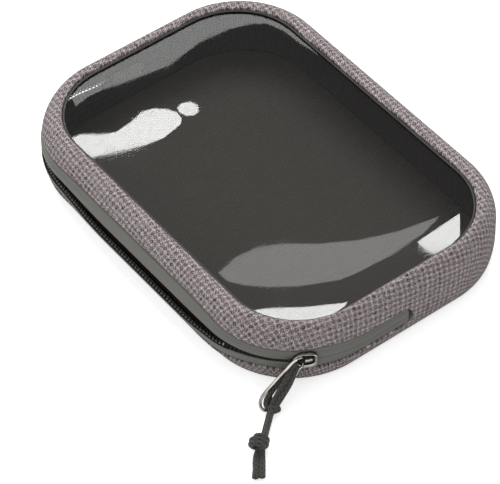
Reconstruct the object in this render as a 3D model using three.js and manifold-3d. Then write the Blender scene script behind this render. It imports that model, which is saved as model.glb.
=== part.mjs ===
// Waterproof pouch with a clear window, a coated coil zip and a corded pull.
// Millimetres, +Z up, the pouch lies on z = 0 with its length along X and its zip on the -Y side.

import * as THREE from 'three';
import Module from 'manifold-3d';

// Body
const bodyLength = 170.2;
const bodyWidth = 122;
const bodyCornerRadius = 36.2;
const bodyHeight = 30.2;
const wallThickness = 1.4;
const baseRadius = 4.3;
const rimRise = 10.9;
const rimCrest = 0.72;
const rimLipDrop = 1.6;
const rimLipDepth = 0.9;
const rimLevels = [0, 0.42, 0.7, 0.88, 0.97, 1];
const rimTurn = 0.3;
const rimTurnPlace = 0.6;
const rimFoot = 0.93;
const rimUnderside = 0.45;

// Window, set in from the body by a rim that is widest at the back and the left
const rimEnd = 6.3;
const rimSide = 9.1;
const rimCornerInset = 7.5;
const windowShiftX = 1.4;
const windowShiftY = -0.6;
const windowThickness = 0.6;
const windowFlange = 1.9;
const windowDome = 0.9;
const domePlace = 0.3;
const beadWidth = 1.0;
const beadHeight = 0.8;
const beadShoulder = 0.6;
const beadCrest = 0.5;

// Lining
const liningThickness = 0.6;

// Zip: two tapes in a slot that runs round the front and both front corners
const zipOverrun = 2.4;
const zipBelowMiddle = 0.1;
const zipEndFall = 3.3;
const zipFallStart = 40;
const zipFallRun = 26;
const tapeShownFront = 4.9;
const tapeShownEnd = 4.2;
const tapeMargin = 3;
const tapeThickness = 0.8;
const tapeEndInset = 2.2;
const closedSlit = 0.3;
const toothPitch = 2.4;
const toothThickness = 1.2;
const toothRoot = 2.4;
const toothReach = 0.7;
const toothDepth = 1.7;

// How far the open stretch of the zip gapes
const gapeStart = 5;
const gapeRun = 70;
const gapeEndRun = 60;
const upperLift = 2.7;
const lowerDrop = 3.1;
const upperFlare = 1.5;
const lowerFlare = 4;
const lipFlare = 1.8;
const throatReach = 3.2;
const throatWidth = 1.7;
const throatSteps = [-1, -0.6, -0.2, 0.2, 0.6, 1];
const slotReach = 12;
const endRounds = [0.15, 0.4, 0.7, 0.92, 1];

// Welded ends of the zip
const garageLength = 10;
const garageThickness = 0.7;
const garageCrown = 0.85;
const garageStraight = 0.7;

// Slider, placed by its angle on the near right corner
const sliderAngle = -31;
const sliderLength = 9.6;
const sliderHalfWide = 3.7;
const sliderHalfEnd = 2.9;
const sliderHalfNose = 1.1;
const sliderPlate = 1.2;
const sliderRim = 0.55;
const sliderRimWidth = 0.7;
const sliderInnerGap = 0.9;
const sliderFlange = 0.8;
const sliderFlangeRise = 1.7;
const sliderFlangeStart = 0.08;
const sliderFlangeEnd = 0.4;
const plateShoulderPlace = 0.4;
const plateSwell = 1.04;
const plateNosePlace = 0.55;
const postLength = 1.6;
const postWidth = 1.2;
const bailWidth = 1.8;
const bailWall = 0.9;
const bailHoleLength = 2.6;
const bailHoleHeight = 2.1;
const bailFoot = 1.9;
const bailLean = 0.3;
const bailOffset = 0.9;

// Wire pull, a closed loop in an upright plane through the bail
const wireDiameter = 1.1;
const pullHeading = -97.7;
const pullSpan = 15.7;
const pullEndHeight = 2.75;
const pullEndRadius = 1.9;
const pullHookHalf = 2.2;
const pullHookSwell = 1.1;
const pullHookLean = 0.7;
const pullHookCrown = 0.6;
const pullHookFoot = 0.5;
const pullShoulderRun = 2.6;
const pullFootRun = 3;
const pullStraightRun = 8;
const pullSlimness = 0.3;
const wireSides = 6;
const wireSteps = 48;

// Cord and knots, placed by hand where they lie
const cordDiameter = 1.7;
const cordSides = 8;
const cordSteps = 5;
const bightSteps = 18;
const knotUpperRadius = 2.1;
const knotLowerRadius = 3.4;
const knotUpperPlace = [83.2, -59.4];
const knotLowerPlace = [93.1, -73.8];
const knotUpperAxis = [0.5, -0.8, 0];
const knotLowerAxis = [0.6, -0.6, 0];
const knotLift = 0.1;
const knotTurns = 3;
const knotRipple = 0.09;
const knotEnd = 0.08;
const knotRows = 12;
const knotSides = 14;
const cordRoutes = {
  cord_middle_left: [[84.1, -61.9, 1.3], [86.6, -66.0, 1.2], [88.9, -69.4, 1.2], [90.3, -71.1, 2.0]],
  cord_middle_right: [[85.4, -61.0, 1.9], [88.0, -65.2, 2.3], [90.0, -68.6, 3.3], [91.2, -70.3, 4.0]],
  cord_tail_left: [[94.7, -76.9, 1.9], [96.4, -78.6, 1.1], [99.7, -81.2, 0.9], [103.2, -83.9, 0.9]],
  cord_tail_right: [[96.4, -75.6, 2.0], [98.0, -77.2, 1.1], [101.0, -79.4, 0.9], [104.0, -81.6, 0.9]],
};

// The bight round the wire: run and aside from the pivot in the wire's plane, and height
const bightRoute = [
  [12.3, 2.2, 4.3],
  [10.4, 0.6, 7.3],
  [8.2, -1.1, 7.4],
  [5.4, -1.75, 9.2],
  [3.9, -1.75, 10.7],
  [2.9, -1.2, 12.4],
  [2.75, 0, 13.1],
  [2.9, 1.2, 12.4],
  [3.9, 1.75, 10.7],
  [5.4, 1.9, 9.0],
  [8.2, 2.5, 5.9],
  [11.2, 3.6, 2.8],
];

// Clearances
const touchGap = 0.3;
const slideGap = 0.5;

const windowLength = bodyLength - 2 * rimEnd;
const windowWidth = bodyWidth - 2 * rimSide;
const windowCornerRadius = bodyCornerRadius - rimCornerInset;
const zipHeightFront = bodyHeight / 2 - zipBelowMiddle;
const crestHeight = bodyHeight;
const shoulderHeight = bodyHeight - rimRise;
const lipHeight = bodyHeight - rimLipDrop;
const undersideHeight = lipHeight - rimLipDepth;
const windowTop = undersideHeight - touchGap;
const tapeDepth = wallThickness + touchGap;
const liningDepth = tapeDepth + tapeThickness + touchGap;
const toothFace = tapeDepth + tapeThickness + touchGap;
const toothBack = toothFace + toothThickness;

const body = { length: bodyLength, width: bodyWidth, radius: bodyCornerRadius, x: 0, y: 0 };
const pane = {
  length: windowLength,
  width: windowWidth,
  radius: windowCornerRadius,
  x: windowShiftX,
  y: windowShiftY,
};

const smoothstep = (value) => {
  const t = Math.min(1, Math.max(0, value));
  return t * t * (3 - 2 * t);
};

// The outline is walked clockwise, seen from above, from the middle of the right side.
// Its nine stretches are half a side, corner, front, corner, side, corner, back, corner, half a side.
const stretches = 9;

function stretchLengths(rect) {
  const side = rect.width / 2 - rect.radius;
  const front = rect.length - 2 * rect.radius;
  const corner = (rect.radius * Math.PI) / 2;
  return [side, corner, front, corner, 2 * side, corner, front, corner, side];
}

// A point of the outline at station u, moved outwards by offset, with its outward normal.
function onOutline(rect, u, offset) {
  const wrapped = ((u % stretches) + stretches) % stretches;
  const index = Math.floor(wrapped);
  const part = wrapped - index;
  const cx = rect.length / 2 - rect.radius;
  const cy = rect.width / 2 - rect.radius;
  const corners = { 1: [cx, -cy, 0], 3: [-cx, -cy, -90], 5: [-cx, cy, -180], 7: [cx, cy, -270] };
  const sides = {
    0: [cx, 0, cx, -cy, 0],
    2: [cx, -cy, -cx, -cy, -90],
    4: [-cx, -cy, -cx, cy, -180],
    6: [-cx, cy, cx, cy, -270],
    8: [cx, cy, cx, 0, 0],
  };
  const reach = rect.radius + offset;
  let x;
  let y;
  let angle;
  if (corners[index]) {
    [x, y, angle] = corners[index];
    angle -= 90 * part;
  } else {
    const [x0, y0, x1, y1, facing] = sides[index];
    x = x0 + (x1 - x0) * part;
    y = y0 + (y1 - y0) * part;
    angle = facing;
  }
  const turn = THREE.MathUtils.degToRad(angle);
  const normal = new THREE.Vector3(Math.cos(turn), Math.sin(turn), 0);
  return { point: new THREE.Vector3(rect.x + x, rect.y + y, 0).addScaledVector(normal, reach), normal };
}

const bodyStretches = stretchLengths(body);

// Distance along the body's outline at station u, and back.
function distanceAt(u) {
  let total = 0;
  let left = u;
  for (const length of bodyStretches) {
    if (left <= 1) {
      return total + left * length;
    }
    total += length;
    left -= 1;
  }
  return total;
}

function stationAt(distance) {
  let left = distance;
  for (let index = 0; index < stretches; index += 1) {
    if (left <= bodyStretches[index] || index === stretches - 1) {
      return index + left / bodyStretches[index];
    }
    left -= bodyStretches[index];
  }
  return stretches;
}

const [halfSide, cornerRun, frontRun] = bodyStretches;
const zipStart = -zipOverrun;
const zipEnd = 2 * halfSide + 2 * cornerRun + frontRun + zipOverrun;
const sliderPlace = halfSide + bodyCornerRadius * THREE.MathUtils.degToRad(-sliderAngle);
const throatPlace = sliderPlace + sliderLength / 2 - postLength;

// Heights and gape of the zip at a distance along the outline; both ends fall alike.
function endShare(distance) {
  const nearest = Math.min(distance, zipStart + zipEnd - distance);
  return smoothstep((zipFallStart - nearest) / zipFallRun);
}

function zipHeight(distance) {
  return zipHeightFront - zipEndFall * endShare(distance);
}

function tapeShown(distance) {
  return tapeShownFront + (tapeShownEnd - tapeShownFront) * endShare(distance);
}

function gape(distance) {
  const opening = smoothstep((distance - sliderPlace - gapeStart) / gapeRun);
  const closing = smoothstep((zipEnd - garageLength - distance) / gapeEndRun);
  return opening * closing;
}

function throat(distance) {
  return throatWidth * (1 - smoothstep((Math.abs(distance - throatPlace) - postLength / 2) / throatReach));
}

// side is 1 for the upper tape and -1 for the lower one.
function tapeEdge(distance, side) {
  const spread = side > 0 ? upperLift : lowerDrop;
  const open = closedSlit / 2 + spread * gape(distance) + throat(distance);
  return zipHeight(distance) + side * open;
}

function slotEdge(distance, side) {
  const spread = side > 0 ? upperLift : lowerDrop;
  return zipHeight(distance) + side * (tapeShown(distance) + spread * gape(distance));
}

// Outward push of the wall at a height, from its foot up to the lower lip of the slot.
function wallPush(distance, z) {
  const lip = slotEdge(distance, -1);
  const rise = Math.max(0, (z - baseRadius) / (lip - baseRadius));
  const fall = Math.max(0, (shoulderHeight - z) / (shoulderHeight - lip));
  return lipFlare * gape(distance) * Math.min(rise, fall);
}

function tapePush(distance, z, side) {
  const lip = slotEdge(distance, side);
  const edge = tapeEdge(distance, side);
  const part = Math.max(0, (z - lip) / (edge - lip));
  const atLip = side > 0 ? 0 : lipFlare;
  const atEdge = side > 0 ? upperFlare : lowerFlare;
  if (part === 0) {
    return side > 0 ? 0 : wallPush(distance, z);
  }
  return gape(distance) * (atLip + (atEdge - atLip) * part);
}

// How far the skin has turned in from the wall towards the window at a height.
function rimBlend(z) {
  const rise = Math.min(1, Math.max(0, (z - shoulderHeight) / rimRise));
  return rimCrest * (1 - Math.sqrt(1 - rise * rise));
}

// A point at a depth behind the outer skin, at height z, pushed outwards by push.
function behindSkin(u, z, depth, push = 0) {
  const outer = onOutline(body, u, push - depth).point;
  const inner = onOutline(pane, u, -depth).point;
  const point = outer.lerp(inner, rimBlend(z));
  point.z = z;
  return point;
}

// Stations of the body's outline, closer together where it bends or the zip gapes.
function outlineStations() {
  const steps = [5, 9, 12, 9, 8, 7, 3, 7, 2];
  const stations = [];
  steps.forEach((count, index) => {
    for (let k = 0; k < count; k += 1) {
      stations.push(index + k / count);
    }
  });
  return stations;
}

const stations = outlineStations();

// Distances of the zip's own stations between two ends, closer together where the rows part in the slider.
function zipDistances(start, end) {
  const spread = throatReach + postLength / 2;
  const atThroat = throatSteps.map((step) => throatPlace + step * spread);
  const inside = stations
    .filter((u) => u <= 5)
    .map((u) => distanceAt(u))
    .filter((distance) => distance > start + touchGap && distance < end - touchGap)
    .filter((distance) => Math.abs(distance - throatPlace) > spread + slideGap);
  return [start, ...inside, ...atThroat, end].sort((a, b) => a - b);
}

function zipPoint(distance, z, depth, push) {
  const u = distance < 0 ? stretches + distance / bodyStretches[stretches - 1] : stationAt(distance);
  return behindSkin(u, z, depth, push);
}

// Closed triangle mesh from rings of points. Ends are closed by a fan to a middle point.
function loft(rings, joined = false) {
  const count = rings[0].length;
  const points = rings.flat().map((point) => point.clone());
  const faces = [];
  const last = joined ? rings.length : rings.length - 1;
  for (let i = 0; i < last; i += 1) {
    const a = i * count;
    const b = ((i + 1) % rings.length) * count;
    for (let j = 0; j < count; j += 1) {
      const k = (j + 1) % count;
      faces.push([a + j, a + k, b + k], [a + j, b + k, b + j]);
    }
  }
  if (!joined) {
    const capEnd = (start, flip) => {
      const middle = new THREE.Vector3();
      for (let j = 0; j < count; j += 1) {
        middle.addScaledVector(points[start + j], 1 / count);
      }
      points.push(middle);
      const centre = points.length - 1;
      for (let j = 0; j < count; j += 1) {
        const k = (j + 1) % count;
        faces.push(flip ? [centre, start + k, start + j] : [centre, start + j, start + k]);
      }
    };
    capEnd(0, true);
    capEnd((rings.length - 1) * count, false);
  }
  return outward(points, faces);
}

// Turns the faces outwards by the sign of the volume and makes the geometry.
function outward(points, faces) {
  let volume = 0;
  for (const [a, b, c] of faces) {
    volume += points[a].dot(points[b].clone().cross(points[c]));
  }
  const index = faces.flatMap(([a, b, c]) => (volume > 0 ? [a, b, c] : [a, c, b]));
  const geometry = new THREE.BufferGeometry();
  const positions = new Float32Array(points.flatMap((point) => point.toArray()));
  geometry.setAttribute('position', new THREE.BufferAttribute(positions, 3));
  geometry.setIndex(index);
  return geometry;
}

const wasm = await Module();
wasm.setup();

// Manifold copy of a geometry, with points at one place merged.
function toSolid(geometry) {
  const position = geometry.getAttribute('position');
  const seen = new Map();
  const merged = [];
  const order = [];
  for (let i = 0; i < position.count; i += 1) {
    const key = [position.getX(i), position.getY(i), position.getZ(i)].map((v) => v.toFixed(5)).join();
    if (!seen.has(key)) {
      seen.set(key, merged.length / 3);
      merged.push(position.getX(i), position.getY(i), position.getZ(i));
    }
    order.push(seen.get(key));
  }
  const corners = geometry.getIndex() ? Array.from(geometry.getIndex().array) : order.map((_, i) => i);
  const faces = [];
  for (let i = 0; i < corners.length; i += 3) {
    const [a, b, c] = [order[corners[i]], order[corners[i + 1]], order[corners[i + 2]]];
    if (a !== b && b !== c && c !== a) {
      faces.push(a, b, c);
    }
  }
  const triVerts = new Uint32Array(faces);
  const vertProperties = new Float32Array(merged);
  return new wasm.Manifold(new wasm.Mesh({ numProp: 3, vertProperties, triVerts }));
}

function toGeometry(solid) {
  const mesh = solid.getMesh();
  const geometry = new THREE.BufferGeometry();
  geometry.setAttribute('position', new THREE.BufferAttribute(new Float32Array(mesh.vertProperties), 3));
  geometry.setIndex(Array.from(mesh.triVerts));
  return geometry;
}

function loop(u2point) {
  return stations.map(u2point);
}

// A level ring of the wall, and the ring that follows the lower lip of the slot.
function wallLoop(z, depth) {
  return loop((u) => behindSkin(u, z, depth));
}

function lowerLipLoop(depth) {
  return loop((u) => {
    const distance = distanceAt(u);
    const z = slotEdge(distance, -1);
    return behindSkin(u, z, depth, wallPush(distance, z));
  });
}

// Rings of the tray's section: out under the base, up the wall, over the rim, and back inside.
function shellRings() {
  const rings = [];
  const insetLoop = (inset, z) => loop((u) => onOutline(body, u, -inset).point.setZ(z));
  const arcSteps = 3;
  rings.push(insetLoop(bodyCornerRadius - touchGap, 0));
  for (let k = 0; k <= arcSteps; k += 1) {
    const turn = (k / arcSteps) * (Math.PI / 2);
    rings.push(insetLoop(baseRadius * (1 - Math.sin(turn)), baseRadius * (1 - Math.cos(turn))));
  }
  rings.push(lowerLipLoop(0));
  for (const rise of rimLevels) {
    rings.push(wallLoop(shoulderHeight + rimRise * rise, 0));
  }
  const lipPoint = (share, z) =>
    loop((u) => {
      const outer = onOutline(body, u, 0).point;
      const inner = onOutline(pane, u, 0).point;
      return outer.lerp(inner, share).setZ(z);
    });
  const lipTurn = (crestHeight - lipHeight) * rimTurn;
  rings.push(lipPoint(rimCrest + (1 - rimCrest) * rimTurnPlace, crestHeight - lipTurn));
  rings.push(lipPoint(1, lipHeight));
  rings.push(lipPoint(1, undersideHeight + rimLipDepth / 3));
  rings.push(lipPoint(rimFoot, undersideHeight));
  const underLoop = (share, z) =>
    loop((u) => {
      const outer = onOutline(body, u, -wallThickness).point;
      const inner = onOutline(pane, u, 0).point;
      return outer.lerp(inner, share).setZ(z);
    });
  rings.push(underLoop(rimUnderside, undersideHeight));
  const innerTop = undersideHeight - wallThickness;
  rings.push(wallLoop(innerTop, wallThickness));
  rings.push(wallLoop((innerTop + shoulderHeight) / 2, wallThickness));
  rings.push(wallLoop(shoulderHeight, wallThickness));
  rings.push(lowerLipLoop(wallThickness));
  for (let k = arcSteps; k >= 0; k -= 1) {
    const turn = (k / arcSteps) * (Math.PI / 2);
    const radius = baseRadius - wallThickness;
    const inset = baseRadius - radius * Math.sin(turn);
    rings.push(insetLoop(inset, baseRadius - radius * Math.cos(turn)));
  }
  rings.push(insetLoop(bodyCornerRadius - touchGap, wallThickness));
  return rings;
}

// Places along a round end of a given radius, closer together at its tip.
function roundRuns(radius) {
  return endRounds.map((part) => radius * (1 - Math.sqrt(1 - part * part)));
}

// Solid that cuts the slot of the zip through the wall, widened by extra, with round ends.
function slotCutter(extra) {
  const distances = zipDistances(zipStart, zipEnd);
  const radius = tapeShownEnd;
  const rounds = roundRuns(radius);
  const starts = rounds.map((run) => zipStart + run);
  const ends = rounds.map((run) => zipEnd - run);
  const between = distances.filter((d) => d > zipStart + radius && d < zipEnd - radius);
  const all = [...starts, ...between, ...ends.reverse()];
  const rings = all.map((distance) => {
    const fromEnd = Math.min(distance - zipStart, zipEnd - distance);
    const back = Math.min(1, fromEnd / radius);
    const round = Math.sqrt(1 - (1 - back) * (1 - back));
    const middle = zipHeight(distance);
    const top = middle + (slotEdge(distance, 1) - middle + extra) * round;
    const bottom = middle - (middle - slotEdge(distance, -1) + extra) * round;
    return [
      zipPoint(distance, bottom, -slotReach, 0),
      zipPoint(distance, top, -slotReach, 0),
      zipPoint(distance, top, slotReach, 0),
      zipPoint(distance, bottom, slotReach, 0),
    ];
  });
  return toSolid(loft(rings));
}

function shellGeometry() {
  return toGeometry(toSolid(loft(shellRings())).subtract(slotCutter(0)));
}

// Sheet inside an outline, thin, from its edge to its middle, flat or raised in the middle by dome.
function sheetGeometry(rect, reach, top, thickness, dome) {
  const deepest = rect.radius + reach - touchGap;
  const insets = dome > 0 ? [0, deepest * domePlace, deepest] : [0];
  const level = (inset) => dome * (1 - (1 - inset / deepest) ** 2);
  const face = (z) =>
    insets.map((inset) => loop((u) => onOutline(rect, u, reach - inset).point.setZ(z + level(inset))));
  return loft([...face(top - thickness).reverse(), ...face(top)]);
}

function beadGeometry() {
  const low = windowTop + touchGap;
  const section = [
    [touchGap, low],
    [touchGap, low + beadHeight * beadShoulder],
    [touchGap + beadWidth * beadCrest, low + beadHeight],
    [touchGap + beadWidth, low],
  ];
  return loft(section.map(([inset, z]) => loop((u) => onOutline(pane, u, -inset).point.setZ(z))), true);
}

function liningWallGeometry() {
  const bottom = wallThickness + touchGap + liningThickness + slideGap;
  const top = windowTop - windowThickness - touchGap;
  const face = (depth) => [
    wallLoop(bottom, depth),
    wallLoop(baseRadius, depth),
    lowerLipLoop(depth),
    wallLoop(shoulderHeight, depth),
    wallLoop(top, depth),
  ];
  const outer = face(liningDepth);
  const inner = face(liningDepth + liningThickness).reverse();
  return toGeometry(toSolid(loft([...outer, ...inner], true)).subtract(slotCutter(slideGap)));
}

function liningFloorGeometry() {
  const inset = baseRadius - liningThickness;
  const top = wallThickness + touchGap + liningThickness;
  return sheetGeometry(body, -inset, top, liningThickness, 0);
}

function tapeGeometry(side) {
  const distances = zipDistances(zipStart + tapeEndInset, zipEnd - tapeEndInset);
  const rings = distances.map((distance) => {
    const edge = tapeEdge(distance, side);
    const lip = slotEdge(distance, side);
    const heights = [lip + side * tapeMargin, lip, (lip + edge) / 2, edge];
    const face = (depth) =>
      heights.map((z) => zipPoint(distance, z, depth, tapePush(distance, z, side)));
    return [...face(tapeDepth), ...face(tapeDepth + tapeThickness).reverse()];
  });
  return loft(rings);
}

// One row of coil teeth behind the edge of its tape; the tips of one row face the roots of the other.
function teethGeometry(side) {
  const start = zipStart + tapeEndInset + toothPitch;
  const end = zipEnd - tapeEndInset - toothPitch;
  const count = 2 * Math.floor((end - start) / toothPitch);
  const rings = [];
  for (let k = 0; k <= count; k += 1) {
    const distance = start + (k * toothPitch) / 2;
    const edge = tapeEdge(distance, side);
    const tip = k % 2 === (side > 0 ? 0 : 1);
    const reach = tip ? -toothReach : toothDepth - toothReach;
    const heights = [edge + side * toothRoot, edge + side * reach];
    const at = (z, depth) => zipPoint(distance, z, depth, tapePush(distance, z, side));
    rings.push([
      at(heights[0], toothFace),
      at(heights[1], toothFace),
      at(heights[1], toothBack),
      at(heights[0], toothBack),
    ]);
  }
  return loft(rings);
}

// Round-ended weld patch over one end of the zip; which is 1 at the right end and -1 at the left.
function garageGeometry(which) {
  const radius = tapeShownEnd - touchGap;
  const tip = which > 0 ? zipStart + touchGap : zipEnd - touchGap;
  const along = [...roundRuns(radius), garageLength * garageStraight, garageLength];
  const rings = along.map((run) => {
    const distance = tip + which * run;
    const back = Math.min(1, run / radius);
    const half = (tapeShown(distance) - touchGap) * Math.sqrt(1 - (1 - back) * (1 - back));
    const middle = zipHeight(distance);
    const front = tapeDepth - touchGap - garageThickness;
    const rounding = garageThickness / 2;
    return [
      zipPoint(distance, middle - half, front + garageThickness, 0),
      zipPoint(distance, middle - half, front + rounding, 0),
      zipPoint(distance, middle - half * garageCrown, front, 0),
      zipPoint(distance, middle + half * garageCrown, front, 0),
      zipPoint(distance, middle + half, front + rounding, 0),
      zipPoint(distance, middle + half, front + garageThickness, 0),
    ];
  });
  return loft(rings);
}

// Slider frame: X towards the closed end of the zip, Y up, Z out of the wall, origin on the skin.
const sliderTurn = THREE.MathUtils.degToRad(sliderAngle);
const cornerX = bodyLength / 2 - bodyCornerRadius;
const cornerY = -(bodyWidth / 2 - bodyCornerRadius);
const outwardAxis = new THREE.Vector3(Math.cos(sliderTurn), Math.sin(sliderTurn), 0);
const closingAxis = new THREE.Vector3(-Math.sin(sliderTurn), Math.cos(sliderTurn), 0);
const upAxis = new THREE.Vector3(0, 0, 1);
const sliderOrigin = new THREE.Vector3(cornerX, cornerY, zipHeight(sliderPlace))
  .addScaledVector(outwardAxis, bodyCornerRadius);
const sliderFrame = new THREE.Matrix4()
  .makeBasis(closingAxis, upAxis, outwardAxis)
  .setPosition(sliderOrigin);

const bailHoleMiddle = bailHoleHeight / 2 + slideGap;
const pivot = new THREE.Vector3(-bailOffset, 0, bailHoleMiddle).applyMatrix4(sliderFrame);

function plateShape(shrink, shoulder) {
  const half = sliderLength / 2 - shrink;
  const wide = shoulder - shrink;
  const end = sliderHalfEnd - shrink;
  const nose = sliderHalfNose - shrink / 2;
  const shape = new THREE.Shape();
  shape.moveTo(half, -end);
  shape.lineTo(half, end);
  shape.quadraticCurveTo(half * plateShoulderPlace, wide * plateSwell, 0, wide);
  shape.quadraticCurveTo(-half * plateNosePlace, wide, -half, nose);
  shape.lineTo(-half, -nose);
  shape.quadraticCurveTo(-half * plateNosePlace, -wide, 0, -wide);
  shape.quadraticCurveTo(half * plateShoulderPlace, -wide * plateSwell, half, -end);
  return shape;
}

function slab(shape, from, to) {
  const geometry = new THREE.ExtrudeGeometry(shape, { depth: to - from, bevelEnabled: false, curveSegments: 5 });
  geometry.translate(0, 0, from);
  return toSolid(geometry);
}

function box(x0, x1, y0, y1, z0, z1) {
  const geometry = new THREE.BoxGeometry(x1 - x0, y1 - y0, z1 - z0);
  geometry.translate((x0 + x1) / 2, (y0 + y1) / 2, (z0 + z1) / 2);
  return toSolid(geometry);
}

function bailSolid() {
  const back = -bailOffset - bailHoleLength / 2 - bailWall;
  const front = -bailOffset + bailHoleLength / 2 + bailFoot;
  const low = -sliderPlate / 2;
  const top = bailHoleMiddle + bailHoleHeight / 2 + bailWall;
  const shape = new THREE.Shape();
  shape.moveTo(back, low);
  shape.lineTo(front, low);
  shape.quadraticCurveTo(front - bailWall * bailLean, top, front - bailFoot, top);
  shape.lineTo(back + bailWall, top);
  shape.quadraticCurveTo(back, top, back, top - bailWall);
  const hole = new THREE.Path();
  const corner = bailHoleHeight / 2;
  const left = -bailOffset - bailHoleLength / 2 + corner;
  const right = -bailOffset + bailHoleLength / 2 - corner;
  hole.absarc(right, bailHoleMiddle, corner, -Math.PI / 2, Math.PI / 2, false);
  hole.absarc(left, bailHoleMiddle, corner, Math.PI / 2, Math.PI * 1.5, false);
  shape.holes.push(hole);
  const geometry = new THREE.ExtrudeGeometry(shape, { depth: bailWidth, bevelEnabled: false, curveSegments: 5 });
  geometry.rotateX(Math.PI / 2);
  geometry.translate(0, bailWidth / 2, 0);
  return toSolid(geometry);
}

function sliderGeometry() {
  const plateBack = -tapeDepth + slideGap;
  const plateFront = plateBack + sliderPlate;
  const shoulder = sliderHalfWide + slideGap;
  const innerFront = -toothBack - sliderInnerGap;
  const innerBack = innerFront - sliderPlate;
  const rim = plateShape(0, sliderHalfWide);
  rim.holes.push(plateShape(sliderRimWidth, sliderHalfWide));
  const nose = -sliderLength / 2;
  let solid = slab(plateShape(0, sliderHalfWide), plateBack, plateFront);
  solid = solid.add(slab(rim, plateFront - touchGap, plateFront + sliderRim));
  solid = solid.add(slab(plateShape(0, shoulder), innerBack, innerFront));
  const half = postWidth / 2;
  solid = solid.add(box(nose + touchGap, nose + touchGap + postLength, -half, half, innerBack + touchGap,
    plateBack + touchGap));
  for (const side of [-1, 1]) {
    const edge = side * (sliderHalfEnd + sliderFlange / 2);
    solid = solid.add(box(sliderLength * sliderFlangeStart, sliderLength * sliderFlangeEnd,
      edge - sliderFlange / 2, edge + sliderFlange / 2, innerFront - touchGap, innerFront + sliderFlangeRise));
  }
  solid = solid.add(bailSolid());
  const geometry = toGeometry(solid);
  geometry.applyMatrix4(sliderFrame);
  return geometry;
}

// The wire lies in the upright plane through the pivot; run is the way out, rise the height above the surface.
const heading = THREE.MathUtils.degToRad(pullHeading);
const wireRun = new THREE.Vector3(Math.cos(heading), Math.sin(heading), 0);
const wireSide = new THREE.Vector3(-wireRun.y, wireRun.x, 0);

function inWirePlane(run, rise, aside = 0) {
  return new THREE.Vector3(pivot.x, pivot.y, 0)
    .addScaledVector(wireRun, run)
    .addScaledVector(wireSide, aside)
    .setZ(rise);
}

function wireOutline() {
  const drop = Math.atan2(pivot.z - pullEndHeight, pullSpan);
  const along = new THREE.Vector2(Math.cos(drop), -Math.sin(drop));
  const across = new THREE.Vector2(Math.sin(drop), Math.cos(drop));
  const hook = new THREE.Vector2(0, pivot.z);
  const end = new THREE.Vector2(pullSpan, pullEndHeight);
  const at = (base, u, w) => base.clone().addScaledVector(along, u).addScaledVector(across, w);
  const half = pullHookHalf + pullHookSwell * pullSlimness;
  const corner = pullEndRadius * Math.SQRT1_2;
  const foot = pullHookSwell * pullHookFoot;
  const points = [
    new THREE.Vector2(0, pivot.z - pullHookHalf),
    new THREE.Vector2(0, pivot.z + pullHookHalf),
    new THREE.Vector2(pullHookSwell * pullHookLean, pivot.z + pullHookHalf + pullHookSwell),
    at(hook, pullShoulderRun, half + pullHookCrown),
    at(hook, pullStraightRun, half),
    at(end, 0, pullEndRadius),
    at(end, corner, corner),
    at(end, pullEndRadius, 0),
    at(end, corner, -corner),
    at(end, 0, -pullEndRadius),
    at(hook, pullStraightRun, -half),
    at(hook, pullFootRun, -half),
    new THREE.Vector2(foot, pivot.z - pullHookHalf - foot),
  ];
  const curve = new THREE.CatmullRomCurve3(points.map((p) => inWirePlane(p.x, p.y)), true, 'centripetal');
  return curve.getSpacedPoints(wireSteps).slice(0, -1);
}

function wireGeometry() {
  const path = wireOutline();
  const rings = path.map((point, k) => {
    const before = path[(k + path.length - 1) % path.length];
    const after = path[(k + 1) % path.length];
    const tangent = after.clone().sub(before).normalize();
    const across = tangent.clone().cross(wireSide).normalize();
    const ring = [];
    for (let j = 0; j < wireSides; j += 1) {
      const turn = (2 * Math.PI * j) / wireSides;
      ring.push(point.clone()
        .addScaledVector(across, (wireDiameter / 2) * Math.cos(turn))
        .addScaledVector(wireSide, (wireDiameter / 2) * Math.sin(turn)));
    }
    return ring;
  });
  return loft(rings, true);
}

function tubeGeometry(points, steps) {
  const circle = new THREE.Shape();
  circle.absarc(0, 0, cordDiameter / 2, 0, 2 * Math.PI, false);
  const path = new THREE.CatmullRomCurve3(points, false, 'centripetal');
  return new THREE.ExtrudeGeometry(circle, {
    steps,
    extrudePath: path,
    bevelEnabled: false,
    curveSegments: cordSides,
  });
}

// A knot as one plain closed solid with three turns of cord on it.
function knotGeometry([x, y], radius, axis) {
  const place = new THREE.Vector3(x, y, radius + knotLift);
  const forward = new THREE.Vector3(...axis).normalize();
  const right = forward.clone().cross(upAxis).normalize();
  const top = right.clone().cross(forward);
  const rings = [];
  for (let k = 0; k <= knotRows; k += 1) {
    const along = -1 + (2 * k + 1) / (knotRows + 1);
    const swell = 1 - knotRipple * (1 + Math.cos(Math.PI * knotTurns * (along + 1)));
    const reach = radius * swell * Math.sqrt(Math.max(knotEnd, 1 - along ** 4));
    const ring = [];
    for (let j = 0; j < knotSides; j += 1) {
      const turn = (2 * Math.PI * j) / knotSides;
      ring.push(place.clone()
        .addScaledVector(forward, along * radius)
        .addScaledVector(right, reach * Math.cos(turn))
        .addScaledVector(top, reach * Math.sin(turn)));
    }
    rings.push(ring);
  }
  return loft(rings);
}

// Colours and finishes, one material a piece
const finishes = {
  fabric: { color: 0x8a8082, roughness: 0.95, metalness: 0 },
  film: { color: 0xdfe3e2, roughness: 0.08, metalness: 0, transparent: true, opacity: 0.25 },
  weld: { color: 0x2c2a2a, roughness: 0.6, metalness: 0 },
  lining: { color: 0x3a3533, roughness: 0.8, metalness: 0 },
  tape: { color: 0x6b6c66, roughness: 0.5, metalness: 0 },
  coil: { color: 0x1f1f1f, roughness: 0.4, metalness: 0 },
  nickel: { color: 0xb5b0a6, roughness: 0.25, metalness: 1 },
  cord: { color: 0x4b4b48, roughness: 0.9, metalness: 0 },
};

const pouch = new THREE.Group();
pouch.name = 'waterproof_pouch';

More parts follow.
